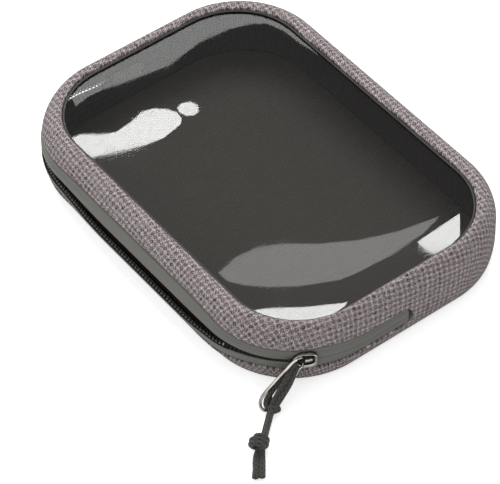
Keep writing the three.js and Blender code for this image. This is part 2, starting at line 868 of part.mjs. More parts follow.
function add(name, geometry, finish) {
  const plain = geometry.index ? geometry : toGeometry(toSolid(geometry));
  const mesh = new THREE.Mesh(plain, new THREE.MeshStandardMaterial({ ...finishes[finish], name: finish }));
  mesh.name = name;
  pouch.add(mesh);
}

// Moves everything so that the origin is under the middle of the box of the pouch without its cord.
function seatOnOrigin() {
  const around = new THREE.Box3();
  pouch.children
    .filter((mesh) => !/^(cord|knot)_/.test(mesh.name))
    .forEach((mesh) => around.union(new THREE.Box3().setFromBufferAttribute(mesh.geometry.getAttribute('position'))));
  const middle = around.getCenter(new THREE.Vector3());
  pouch.children.forEach((mesh) => {
    mesh.geometry.translate(-middle.x, -middle.y, -around.min.z);
    mesh.geometry.computeVertexNormals();
  });
}

add('shell', shellGeometry(), 'fabric');
add('window', sheetGeometry(pane, windowFlange, windowTop, windowThickness, windowDome), 'film');
add('window_bead', beadGeometry(), 'weld');
add('lining_wall', liningWallGeometry(), 'lining');
add('lining_floor', liningFloorGeometry(), 'lining');
add('tape_upper', tapeGeometry(1), 'tape');
add('tape_lower', tapeGeometry(-1), 'tape');
add('teeth_upper', teethGeometry(1), 'coil');
add('teeth_lower', teethGeometry(-1), 'coil');
add('garage_right', garageGeometry(1), 'tape');
add('garage_left', garageGeometry(-1), 'tape');
add('slider_body', sliderGeometry(), 'nickel');
add('pull_wire', wireGeometry(), 'nickel');
const bightPoints = bightRoute.map(([run, aside, rise]) => inWirePlane(run, rise, aside));
add('cord_bight', tubeGeometry(bightPoints, bightSteps), 'cord');
for (const [name, route] of Object.entries(cordRoutes)) {
  add(name, tubeGeometry(route.map((point) => new THREE.Vector3(...point)), cordSteps), 'cord');
}
add('knot_upper', knotGeometry(knotUpperPlace, knotUpperRadius, knotUpperAxis), 'cord');
add('knot_lower', knotGeometry(knotLowerPlace, knotLowerRadius, knotLowerAxis), 'cord');

seatOnOrigin();

export default pouch;
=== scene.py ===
"""Looks of a waterproof pouch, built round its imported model.

The pouch is a moulded tray of woven fabric with a domed clear window in its top,
a coated coil zip that stands open along the front, a nickel slider with a wire
pull, and a doubled cord tied in two knots. Each shape is a surface on a grid,
worked out with numpy in millimetres and put into a mesh in metres.
"""

import logging
from dataclasses import dataclass
from enum import Enum

import bpy
import numpy as np
from mathutils import Matrix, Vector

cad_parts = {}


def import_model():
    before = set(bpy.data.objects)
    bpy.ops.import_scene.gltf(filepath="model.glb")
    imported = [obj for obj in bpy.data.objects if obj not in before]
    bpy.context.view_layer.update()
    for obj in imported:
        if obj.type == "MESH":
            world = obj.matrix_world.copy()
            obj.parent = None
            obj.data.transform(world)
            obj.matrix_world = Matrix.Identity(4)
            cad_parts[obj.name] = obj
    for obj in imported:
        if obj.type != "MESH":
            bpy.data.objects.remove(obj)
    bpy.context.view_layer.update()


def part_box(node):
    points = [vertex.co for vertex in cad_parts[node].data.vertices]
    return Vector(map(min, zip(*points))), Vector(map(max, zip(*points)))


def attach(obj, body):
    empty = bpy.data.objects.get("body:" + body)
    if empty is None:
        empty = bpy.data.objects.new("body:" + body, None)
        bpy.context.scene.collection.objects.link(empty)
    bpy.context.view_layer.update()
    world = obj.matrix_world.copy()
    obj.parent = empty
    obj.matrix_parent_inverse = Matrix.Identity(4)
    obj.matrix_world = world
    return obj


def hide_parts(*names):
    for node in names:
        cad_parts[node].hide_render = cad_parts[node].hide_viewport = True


MM = 0.001
LOG = logging.getLogger("pouch")
Array = np.ndarray
Material = bpy.types.Material
Object = bpy.types.Object
Socket = bpy.types.NodeSocket
Triple = tuple[float, float, float]
QUARTER = np.pi / 2
CIRCLE = 2 * np.pi
UP = np.array([0, 0, 1.0])


class Body(Enum):
    """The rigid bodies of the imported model."""

    POUCH = "pouch"
    SLIDER = "slider"
    PULL = "pull"


class Side(Enum):
    """The two rows of the zip; the value is the sign of the way from the slit to the lip."""

    UPPER = 1
    LOWER = -1


class End(Enum):
    """The two ends of the zip; the value is the way along the zip from the tip inwards."""

    RIGHT = 1
    LEFT = -1


def smoothstep(value: Array) -> Array:
    """Smooth rise 3t^2 - 2t^3, with t the value held between 0 and 1."""
    held = np.clip(value, 0, 1)
    return held * held * (3 - 2 * held)


def unit(vectors: Array) -> Array:
    """Vectors divided by their lengths."""
    return vectors / np.maximum(np.linalg.norm(vectors, axis=-1, keepdims=True), 1e-9)


def spline(points: Array, count: int, closed: bool = False) -> Array:
    """Centripetal curve through points, sampled at equal steps of its length.

    Each span is the Barry-Goldman blend of its four nearest points, with knots
    spaced by the square root of the chords; the samples are then spread evenly.

    Args:
        points: Points to pass through, one row each.
        count: Number of samples.
        closed: Whether the curve returns to its first point.

    Returns:
        The samples, one row each; a closed curve leaves its last point out.
    """
    given = np.asarray(points, float)
    if closed:
        padded = np.vstack([given[-1:], given, given[:2]])
    else:
        padded = np.vstack([2 * given[:1] - given[1:2], given, 2 * given[-1:] - given[-2:-1]])
    spans = len(padded) - 3
    step = np.linspace(0, spans, 40 * spans + 1)
    first = np.minimum(step.astype(int), spans - 1)
    a, b, c, d = (padded[first + k] for k in range(4))
    gaps = [np.sqrt(np.linalg.norm(q - p, axis=1, keepdims=True)) + 1e-9 for p, q in ((a, b), (b, c), (c, d))]
    t1 = gaps[0]
    t2 = t1 + gaps[1]
    t3 = t2 + gaps[2]
    t = t1 + (step - first)[:, None] * gaps[1]
    ab = a + (b - a) * t / t1
    bc = b + (c - b) * (t - t1) / (t2 - t1)
    cd = c + (d - c) * (t - t2) / (t3 - t2)
    abc = ab + (bc - ab) * t / t2
    bcd = bc + (cd - bc) * (t - t1) / (t3 - t1)
    fine = abc + (bcd - abc) * (t - t1) / (t2 - t1)
    run = run_of(fine)
    places = np.linspace(0, run[-1], count, endpoint=not closed)
    return np.stack([np.interp(places, run, fine[:, k]) for k in range(3)], axis=1)


def link(name: str, data: bpy.types.ID, pose: Array | None = None) -> Object:
    """Adds an object to the scene, at a pose if there is one."""
    made = bpy.data.objects.new(name, data)
    if pose is not None:
        made.matrix_world = Matrix(pose.tolist())
    bpy.context.scene.collection.objects.link(made)
    return made


def facing(right: Array, back: Array, place: Array) -> Array:
    """Pose of a camera or lamp at a place, by the ways to its right and to its back."""
    pose = np.eye(4)
    pose[:3] = np.stack([right, np.cross(back, right), back, place], axis=1)
    return pose


def run_of(path: Array) -> Array:
    """Length along a path from its first point to each point."""
    return np.concatenate([[0], np.cumsum(np.linalg.norm(np.diff(path, axis=0), axis=1))])


def sweep(path: Array, radius: Array, sides: int, guide: Array, closed: bool = False) -> Array:
    """Rings of a round tube: each point of the path plus radius times a circle across it.

    Args:
        path: Points of the centre line.
        radius: Radius at each point, or one for all.
        sides: Points round a ring.
        guide: Direction, or one a point, that is never along the path.
        closed: Whether the path returns to its first point.

    Returns:
        Grid of points (path, sides, 3).
    """
    if closed:
        tangent = np.roll(path, -1, axis=0) - np.roll(path, 1, axis=0)
    else:
        tangent = np.gradient(path, axis=0)
    across = unit(np.cross(tangent, guide))
    other = unit(np.cross(across, tangent))
    turn = np.linspace(0, CIRCLE, sides, endpoint=False)[None, :, None]
    reach = np.broadcast_to(np.asarray(radius, float), (len(path),))[:, None, None]
    return path[:, None] + reach * (np.cos(turn) * across[:, None] + np.sin(turn) * other[:, None])


def around(grid: Array) -> Array:
    """Repeats a grid's first column after its last one."""
    return np.concatenate([grid, grid[:, :1]], axis=1)


def together(*values: Array) -> Array:
    """Puts values side by side as the last axis of one grid, each repeated to its full size."""
    return np.stack(np.broadcast_arrays(*values), axis=-1)


def places_on(path: Array, sides: int) -> Array:
    """Pattern places of a tube: metres along it, and turns round it."""
    return together(run_of(path)[:, None] * MM, np.linspace(0, 1, sides + 1))


def rounded(path: Array, radius: float, steps: int = 5, flat: float = 1.0) -> tuple[Array, Array]:
    """Adds round ends to a tube's path.

    Args:
        path: Points of the centre line.
        radius: The tube's radius.
        steps: Points added at each end.
        flat: Length of an end as a share of the radius.

    Returns:
        The longer path, and the radius at each of its points, which falls as a circle does.
    """
    turn = np.linspace(0.05, QUARTER, steps, endpoint=False)
    start = unit(path[0] - path[1])
    end = unit(path[-1] - path[-2])
    head = path[0] + start * (flat * radius * np.cos(turn))[:, None]
    tail = path[-1] + end * (flat * radius * np.cos(turn[::-1]))[:, None]
    reach = np.concatenate([radius * np.sin(turn), np.full(len(path), radius), radius * np.sin(turn[::-1])])
    return np.vstack([head, path, tail]), reach


class Draft:
    """One piece while it is put together from grids of points, in millimetres."""

    def __init__(self) -> None:
        """Starts with no points and no faces."""
        self.points: list[Array] = []
        self.corners: list[Array] = []
        self.places: list[Array] = []
        self.count = 0

    def grid(self, points: Array) -> Array:
        """Adds a grid of points (rows, columns, 3) and returns their numbers as a grid."""
        rows, columns, _ = points.shape
        index = self.count + np.arange(rows * columns).reshape(rows, columns)
        self.points.append(points.reshape(-1, 3))
        self.count += rows * columns
        return index

    def cells(self, index: Array, place: Array | None = None, keep: Array | None = None) -> None:
        """Adds the four-sided cells between neighbours of an index grid.

        Args:
            index: Grid of point numbers.
            place: Pattern place of each grid point, in metres along the surface.
            keep: Which cells to add, all of them if left out.
        """
        if place is None:
            place = np.zeros(index.shape + (2,))
        near, far = slice(None, -1), slice(1, None)
        walk = ((near, near), (near, far), (far, far), (far, near))
        quads = np.stack([index[corner] for corner in walk], axis=-1)
        spots = np.stack([place[corner] for corner in walk], axis=-2)
        if keep is None:
            keep = np.ones(quads.shape[:2], bool)
        self.corners.append(quads[keep])
        self.places.append(spots[keep])

    def tube(self, rings: Array, place: Array | None = None, looped: bool = False) -> None:
        """Adds a closed tube: rings joined along it, and its ends closed by a pole or joined.

        Args:
            rings: Grid of points (rings, sides, 3).
            place: Pattern places (rings, sides + 1, 2).
            looped: Whether the last ring joins the first.
        """
        index = self.grid(rings)
        if looped:
            index = np.vstack([index, index[:1]])
            place = None if place is None else np.concatenate([place, place[:1]])
        else:
            poles = self.grid(np.stack([rings[0].mean(axis=0), rings[-1].mean(axis=0)])[:, None])
            first, last = (np.repeat(pole[None], index.shape[1], axis=1) for pole in poles)
            index = np.vstack([first, index, last])
            place = None if place is None else np.concatenate([place[:1], place, place[-1:]])
        self.cells(around(index), place)

    def disc(self, rings: Array, place: Array) -> None:
        """Adds rings round a middle, the first and the last of them drawn together to a point."""
        index = self.grid(rings)
        index[0], index[-1] = index[0, 0], index[-1, 0]
        self.cells(around(index), around(place))

    def piece(self, name: str, material: Material, body: Body, slot: str, *nodes: str) -> Object:
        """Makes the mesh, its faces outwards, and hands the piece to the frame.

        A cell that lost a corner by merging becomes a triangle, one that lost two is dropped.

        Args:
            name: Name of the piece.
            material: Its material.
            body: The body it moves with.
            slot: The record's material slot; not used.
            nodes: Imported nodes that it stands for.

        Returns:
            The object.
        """
        points = np.concatenate(self.points) * MM
        quads = np.concatenate(self.corners)
        spots = np.concatenate(self.places)
        a, b, c, d = (points[quads[:, k]] for k in range(4))
        volume = np.einsum("ij,ij->", a, np.cross(b, c)) + np.einsum("ij,ij->", a, np.cross(c, d))
        if volume < 0:
            quads, spots = quads[:, ::-1], spots[:, ::-1]
        keep = quads != np.roll(quads, -1, axis=1)
        good = keep.sum(axis=1) > 2
        keep, quads, spots = keep[good], quads[good], spots[good]
        used, corners = np.unique(quads[keep], return_inverse=True)
        sizes = keep.sum(axis=1)
        mesh = bpy.data.meshes.new(name)
        mesh.vertices.add(len(used))
        mesh.vertices.foreach_set("co", points[used].astype(np.float32).ravel())
        mesh.loops.add(len(corners))
        mesh.loops.foreach_set("vertex_index", corners.astype(np.int32).ravel())
        mesh.polygons.add(len(sizes))
        mesh.polygons.foreach_set("loop_start", (np.cumsum(sizes) - sizes).astype(np.int32))
        mesh.update(calc_edges=True)
        layer = mesh.uv_layers.new(name="weave")
        layer.uv.foreach_set("vector", spots[keep].astype(np.float32).ravel())
        mesh.shade_smooth()
        mesh.materials.append(material)
        made = link(name, mesh)
        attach(made, body.value)
        if nodes:
            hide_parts(*nodes)
        stands_for = ", ".join(nodes) or "none"
        LOG.info("%s: %d faces, rides on %s, stands for %s", name, len(sizes), body.value, stands_for)
        return made


class Nodes:
    """Shorthand for putting together the nodes of a material or of the surroundings."""

    def __init__(self, name: str, world: bool = False) -> None:
        """Starts an empty material, or surroundings, of that name."""
        self.owner = (bpy.data.worlds if world else bpy.data.materials).new(name)
        self.owner.use_nodes = True
        self.tree = self.owner.node_tree
        self.tree.nodes.clear()
        self.output = self.tree.nodes.new(f"ShaderNodeOutput{'World' if world else 'Material'}")

    def node(self, kind: str, inputs: dict | None = None, **settings: object) -> bpy.types.Node:
        """Adds a node, sets its options, and plugs sockets or values into its inputs."""
        made = self.tree.nodes.new(kind)
        for key, value in settings.items():
            setattr(made, key, value)
        for key, value in (inputs or {}).items():
            self.plug(made.inputs[key], value)
        return made

    def plug(self, socket: Socket, value: object) -> None:
        """Links a socket into another, or sets a plain value."""
        if isinstance(value, Socket):
            self.tree.links.new(value, socket)
        elif isinstance(value, tuple) and socket.type == "RGBA" and len(value) == 3:
            socket.default_value = (*value, 1.0)
        else:
            socket.default_value = value

    def math(self, operation: str, *values: object, clamp: bool = False) -> Socket:
        """One arithmetic step on sockets or numbers."""
        made = self.tree.nodes.new("ShaderNodeMath")
        made.operation = operation
        made.use_clamp = clamp
        for socket, value in zip(made.inputs, values):
            self.plug(socket, value)
        return made.outputs[0]

    def plus(self, first: object, second: object, clamp: bool = False) -> Socket:
        """Sum of two sockets or numbers."""
        return self.math("ADD", first, second, clamp=clamp)

    def minus(self, first: object, second: object) -> Socket:
        """First less second."""
        return self.math("SUBTRACT", first, second)

    def times(self, first: object, second: object, clamp: bool = False) -> Socket:
        """Product of two sockets or numbers."""
        return self.math("MULTIPLY", first, second, clamp=clamp)

    def mix(self, share: object, first: object, second: object) -> Socket:
        """Colour between first and second by share."""
        made = self.tree.nodes.new("ShaderNodeMix")
        made.data_type = "RGBA"
        self.plug(made.inputs[0], share)
        self.plug(made.inputs[6], first)
        self.plug(made.inputs[7], second)
        return made.outputs[2]

    def rise(self, value: object, low: float, high: float) -> Socket:
        """Smooth rise from 0 at low to 1 at high."""
        inputs = {"Value": value, "From Min": low, "From Max": high}
        return self.node("ShaderNodeMapRange", inputs, interpolation_type="SMOOTHSTEP").outputs[0]

    def noise(self, place: object, scale: float, detail: float = 2.0) -> Socket:
        """Soft noise, its scale in repeats a metre."""
        inputs = {"Vector": place, "Scale": scale, "Detail": detail}
        return self.node("ShaderNodeTexNoise", inputs).outputs[0]

    def along(self) -> tuple[Socket, Socket, Socket]:
        """The pattern place on the surface in metres, whole and by its two parts."""
        whole = self.node("ShaderNodeUVMap", uv_map="weave").outputs[0]
        parts = self.node("ShaderNodeSeparateXYZ", {0: whole}).outputs
        return whole, parts[0], parts[1]

    def place(self) -> Socket:
        """The place in the object's frame, in metres."""
        return self.node("ShaderNodeTexCoord").outputs["Object"]

    def bump(self, height: object, depth: float, strength: float = 1.0) -> Socket:
        """Normal tilted by a height, its depth in metres."""
        return self.node("ShaderNodeBump", {"Height": height, "Distance": depth, "Strength": strength}).outputs[0]

    def end(self, shader: bpy.types.Node) -> bpy.types.ID:
        """Ends the material or surroundings with a shader, and returns them."""
        self.tree.links.new(shader.outputs[0], self.output.inputs["Surface"])
        return self.owner

    def surface(self, inputs: dict) -> Material:
        """Ends the material with one Principled shader."""
        return self.end(self.node("ShaderNodeBsdfPrincipled", inputs))


@dataclass(frozen=True)
class WovenCover:
    """Honeycomb weave: rows of pale yarn that swing towards each other over mauve-grey cells.

    Sizes are in metres. A row's height is its mid line plus swing times a flattened cosine,
    and its neighbour swings the other way, so that they meet in staggered knots. The place is
    first shifted by noise, so that no two cells are alike.
    """

    turn: float = 36.0
    across: float = 0.0033
    along: float = 0.0029
    swing: float = 0.00052
    wander: float = 0.0017
    cell: Triple = (0.190, 0.156, 0.161)
    pale: Triple = (0.80, 0.73, 0.715)
    hole: Triple = (0.042, 0.030, 0.034)

    def material(self) -> Material:
        """Builds the material from the places along the surface."""
        n = Nodes("woven_cover")
        whole, u, v = n.along()
        shifts = [n.times(n.minus(n.noise(whole, scale), 0.5), self.wander) for scale in (330.0, 410.0)]
        u, v = n.plus(u, shifts[0]), n.plus(v, shifts[1])
        cos, sin = float(np.cos(np.radians(self.turn))), float(np.sin(np.radians(self.turn)))
        u, v = n.plus(n.times(u, cos), n.times(v, sin)), n.minus(n.times(v, cos), n.times(u, sin))
        wave = n.math("COSINE", n.times(u, CIRCLE / self.across))
        flat = n.times(wave, n.minus(1.5, n.times(0.5, n.times(wave, wave))))
        shift = n.times(flat, self.swing)
        half = self.along / 2
        rows = [n.math("ABSOLUTE", n.minus(n.math("FLOORED_MODULO", place, self.along), half))
                for place in (n.plus(n.minus(v, shift), half), n.plus(v, shift))]
        near = n.math("SMOOTH_MIN", *rows, 0.0001)
        yarn = n.minus(1.0, n.rise(near, 0.00003, 0.00025))
        hole = n.rise(near, 0.00048, 0.00088)
        speck = n.rise(n.noise(whole, 1900.0), 0.38, 0.64)
        fibre = n.rise(n.noise(whole, 3800.0), 0.36, 0.66)
        clump = n.rise(n.noise(whole, 640.0), 0.38, 0.64)
        bright = n.times(yarn, n.plus(0.04, n.times(1.05, speck)), clamp=True)
        fine_u, fine_v = n.times(u, 2 * CIRCLE / self.across), n.times(v, 2 * CIRCLE / self.along)
        stitch = n.times(n.math("COSINE", n.plus(fine_u, fine_v)), n.math("COSINE", n.minus(fine_u, fine_v)))
        stray = n.times(n.times(n.rise(stitch, 0.1, 0.9), n.plus(0.15, speck)), 0.80, clamp=True)
        dark = n.times(hole, n.plus(0.12, n.times(0.88, clump)), clamp=True)
        ground = n.mix(n.times(fibre, 0.45), self.cell, tuple(0.62 * c for c in self.cell))
        colour = n.mix(n.math("MAXIMUM", bright, stray), n.mix(dark, ground, self.hole), self.pale)
        height = n.plus(n.minus(yarn, n.times(dark, 0.6)), n.times(fibre, 0.3))
        return n.surface({"Base Color": colour, "Roughness": 0.95, "Specular IOR Level": 0.0, "Sheen Weight": 0.05,
                          "Sheen Roughness": 0.6, "Normal": n.bump(height, 0.00022, 0.7)})


@dataclass(frozen=True)
class RibbedLining:
    """Dark lining with fine ribs along one direction of the surface, with painted shade that darkens it most towards
    the front, behind the zip's mouth.
    """

    name: str
    low: Triple = (0.018, 0.0145, 0.015)
    high: Triple = (0.040, 0.033, 0.033)
    pitch: float = 0.0011

    def material(self) -> Material:
        """Ribs are a cosine of the place along the surface; yarn noise breaks them up."""
        n = Nodes(self.name)
        whole, u, _ = n.along()
        wobble = n.times(n.noise(whole, 260.0), 0.0004)
        rib = n.math("COSINE", n.times(n.plus(u, wobble), CIRCLE / self.pitch))
        yarn = n.noise(whole, 2600.0, 3.0)
        share = n.plus(n.times(rib, 0.28), n.plus(0.08, n.times(yarn, 0.8)), clamp=True)
        height = n.plus(n.times(rib, 0.5), yarn)
        # Painted shade: the lining goes near black towards the front of the pouch, behind the zip's mouth.
        depth = n.node("ShaderNodeSeparateXYZ", {0: n.place()}).outputs[1]
        front = n.times(n.minus(1.0, n.rise(depth, -0.056, -0.040)), 0.75)
        colour = n.mix(front, n.mix(share, self.low, self.high), (0.006, 0.005, 0.005))
        return n.surface({"Base Color": colour, "Roughness": 0.95, "Specular IOR Level": 0.0,
                          "Normal": n.bump(height, 0.00018, 0.8)})


@dataclass(frozen=True)
class CoatedTape:
    """Satin coated tape: fine lines run along the zip, with faint handling marks.

    Its back is dull black; so is the lower tape's edge where the zip gapes, which is partly its black back and partly
    painted shade in the gap. The pattern place's second part is below inner_below there.
    """

    colour: Triple = (0.128, 0.128, 0.115)
    back: Triple = (0.012, 0.012, 0.011)
    inner_below: float = -0.05

    def material(self) -> Material:
        """Lines are noise drawn out a hundredfold along the tape."""
        n = Nodes("coated_tape")
        _, u, v = n.along()
        inner = n.math("LESS_THAN", v, self.inner_below)
        drawn = n.node("ShaderNodeCombineXYZ", {0: n.times(u, 0.02), 1: v}).outputs[0]
        line = n.noise(drawn, 3400.0)
        cloud = n.noise(n.place(), 90.0, 3.0)
        grain = n.noise(n.place(), 9000.0)
        dark, light = (tuple(level * c for c in self.colour) for level in (0.86, 1.12))
        colour = n.mix(n.plus(n.times(line, 0.6), n.times(cloud, 0.4)), dark, light)
        colour = n.mix(inner, colour, self.back)
        rough = n.plus(0.40, n.plus(n.times(cloud, 0.18), n.times(inner, 0.4)))
        height = n.plus(n.times(line, 0.6), n.times(grain, 0.4))
        return n.surface({"Base Color": colour, "Roughness": rough, "Specular IOR Level": 0.4,
                          "Normal": n.bump(height, 0.00004, 0.7)})


@dataclass(frozen=True)
class BlackCoil:
    """Black moulded coil of the zip, with a painted pale highlight on both legs of each loop where the zip gapes.

    The pattern place's second part is 1 at a loop's head and -1 at its root.
    """

    def material(self) -> Material:
        """Dust is noise over the loops, and the painted highlight lies just behind the heads."""
        n = Nodes("black_coil")
        dust = n.noise(n.place(), 1500.0, 3.0)
        plain = n.mix(n.rise(dust, 0.45, 0.85), (0.005, 0.005, 0.005), (0.020, 0.020, 0.019))
        swing = n.along()[2]
        # Painted highlight: pale colour on the legs just behind each loop's head.
        leg = n.minus(n.rise(swing, 0.35, 0.60), n.rise(swing, 0.80, 0.95))
        return n.surface({"Base Color": n.mix(leg, plain, (0.46, 0.46, 0.44)),
                          "Roughness": n.plus(0.26, n.times(dust, 0.2)),
                          "Normal": n.bump(dust, 0.00003, 0.4)})


@dataclass(frozen=True)
class Nickel:
    """Warm polished nickel with cloudy wear and fine scratches, rougher and with painted shade in the slider's well,
    and with painted shade towards grazing edges.
    """

    def material(self) -> Material:
        """Scratches are drawn-out noise that changes the roughness."""
        n = Nodes("nickel")
        # Painted shade: the well, and the arch's ends, go dull and near black.
        well = n.rise(n.along()[2], 0.3, 0.7)
        cloud = n.noise(n.place(), 320.0, 4.0)
        place = n.node("ShaderNodeMapping", {"Vector": n.place(), "Scale": (1.0, 1.0, 0.08)}).outputs[0]
        scratch = n.noise(place, 6000.0)
        colour = n.mix(n.rise(cloud, 0.35, 0.7), (0.52, 0.495, 0.45), (0.74, 0.71, 0.655))
        # Painted shade: the colour darkens towards grazing edges.
        facing = n.node("ShaderNodeLayerWeight", {"Blend": 0.5}).outputs["Facing"]
        colour = n.mix(n.rise(facing, 0.10, 0.55), colour, (0.070, 0.064, 0.053))
        colour = n.mix(well, colour, (0.022, 0.020, 0.017))
        wear = n.times(n.times(cloud, scratch), 0.4)
        rough = n.plus(n.plus(0.14, n.times(well, 0.25)), wear)
        return n.surface({"Base Color": colour, "Metallic": 1.0, "Roughness": rough,
                          "Normal": n.bump(scratch, 0.00002, 0.35)})


@dataclass(frozen=True)
class BraidedCord:
    """Braided cord: two families of yarns wind round it against each other."""

    lay: float = 0.0021
    yarns: int = 4

    def material(self) -> Material:
        """Each family is a sine of the way along plus or minus the way round."""
        n = Nodes("braided_cord")
        _, u, v = n.along()
        ahead = n.times(u, CIRCLE / self.lay)
        sideways = n.times(v, CIRCLE * self.yarns)
        braid = n.math("MAXIMUM", n.math("SINE", n.plus(ahead, sideways)), n.math("SINE", n.minus(ahead, sideways)))
        fibre = n.noise(n.place(), 5200.0, 3.0)
        share = n.plus(n.times(n.rise(braid, -0.2, 1.0), 0.5), n.times(fibre, 0.5))
        height = n.plus(braid, n.times(fibre, 0.6))
        return n.surface({"Base Color": n.mix(share, (0.011, 0.0105, 0.009), (0.066, 0.063, 0.056)),
                          "Roughness": 0.8, "Sheen Weight": 0.12, "Normal": n.bump(height, 0.00012, 0.9)})


@dataclass(frozen=True)
class WeldLine:
    """Dark weld between the film and the cover."""

    def material(self) -> Material:
        """A little noise in its gloss."""
        n = Nodes("weld_line")
        cloud = n.noise(n.place(), 700.0, 3.0)
        return n.surface({"Base Color": n.mix(cloud, (0.020, 0.019, 0.018), (0.060, 0.056, 0.054)),
                          "Roughness": n.plus(0.30, n.times(cloud, 0.3)),
                          "Normal": n.bump(cloud, 0.00005, 0.5)})


@dataclass(frozen=True)
class ClearFilm:
    """Clear glossy film: what is behind shows unbent, and the gloss grows towards grazing views."""

    def material(self) -> Material:
        """A faint haze and finger marks change the gloss's roughness."""
        n = Nodes("clear_film")
        smear = n.noise(n.place(), 45.0, 4.0)
        rough = n.plus(0.02, n.times(n.rise(smear, 0.45, 0.75), 0.06))
        clear = n.node("ShaderNodeBsdfTransparent", {"Color": (0.965, 0.97, 0.96)})
        gloss = n.node("ShaderNodeBsdfGlossy", {"Color": (1.0, 1.0, 1.0), "Roughness": rough})
        facing = n.node("ShaderNodeLayerWeight", {"Blend": 0.5}).outputs["Facing"]
        share = n.plus(0.045, n.times(0.9, n.math("POWER", facing, 5.0)), clamp=True)
        return n.end(n.node("ShaderNodeMixShader", {0: share, 1: clear.outputs[0], 2: gloss.outputs[0]}))


@dataclass(frozen=True)
class RoundedOutline:
    """A rounded rectangle, walked clockwise seen from above from the middle of its right side.

    A station counts its nine stretches: half a side, corner, front, corner, side, corner,
    back, corner and half a side.
    """

    length: float
    width: float
    radius: float
    centre: tuple[float, float] = (0.0, 0.0)

    def stretches(self) -> Array:
        """Lengths of the nine stretches."""
        side = self.width / 2 - self.radius
        front = self.length - 2 * self.radius
        corner = self.radius * QUARTER
        return np.array([side, corner, front, corner, 2 * side, corner, front, corner, side])

    def station(self, distance: Array) -> Array:
        """Station at a distance along the outline."""
        runs = np.concatenate([[0], np.cumsum(self.stretches())])
        return np.interp(np.mod(distance, runs[-1]), runs, np.arange(10))

    def at(self, station: Array, offset: Array) -> tuple[Array, Array]:
        """Points at stations, offset outwards, and the outward normals.

        A point is the stretch's centre plus the normal times radius plus offset; the centre
        slides along straight stretches and the normal turns through corners.
        """
        cx, cy = self.length / 2 - self.radius, self.width / 2 - self.radius
        ends = [[cx, -cy], [-cx, -cy], [-cx, cy], [cx, cy]]
        spots = np.array([[cx, 0], *np.repeat(ends, 2, axis=0), [cx, 0]])
        wrapped = np.mod(station, 9)
        index = wrapped.astype(int)
        part = wrapped - index
        angle = -np.radians(90) * ((index + 1) // 2 - index % 2 + part * (index % 2))
        normal = np.stack([np.cos(angle), np.sin(angle)], axis=-1)
        middle = spots[index] + (spots[index + 1] - spots[index]) * (part * (index % 2 == 0))[..., None]
        reach = self.radius + np.asarray(offset, float)
        return middle + np.array(self.centre) + normal * reach[..., None], normal


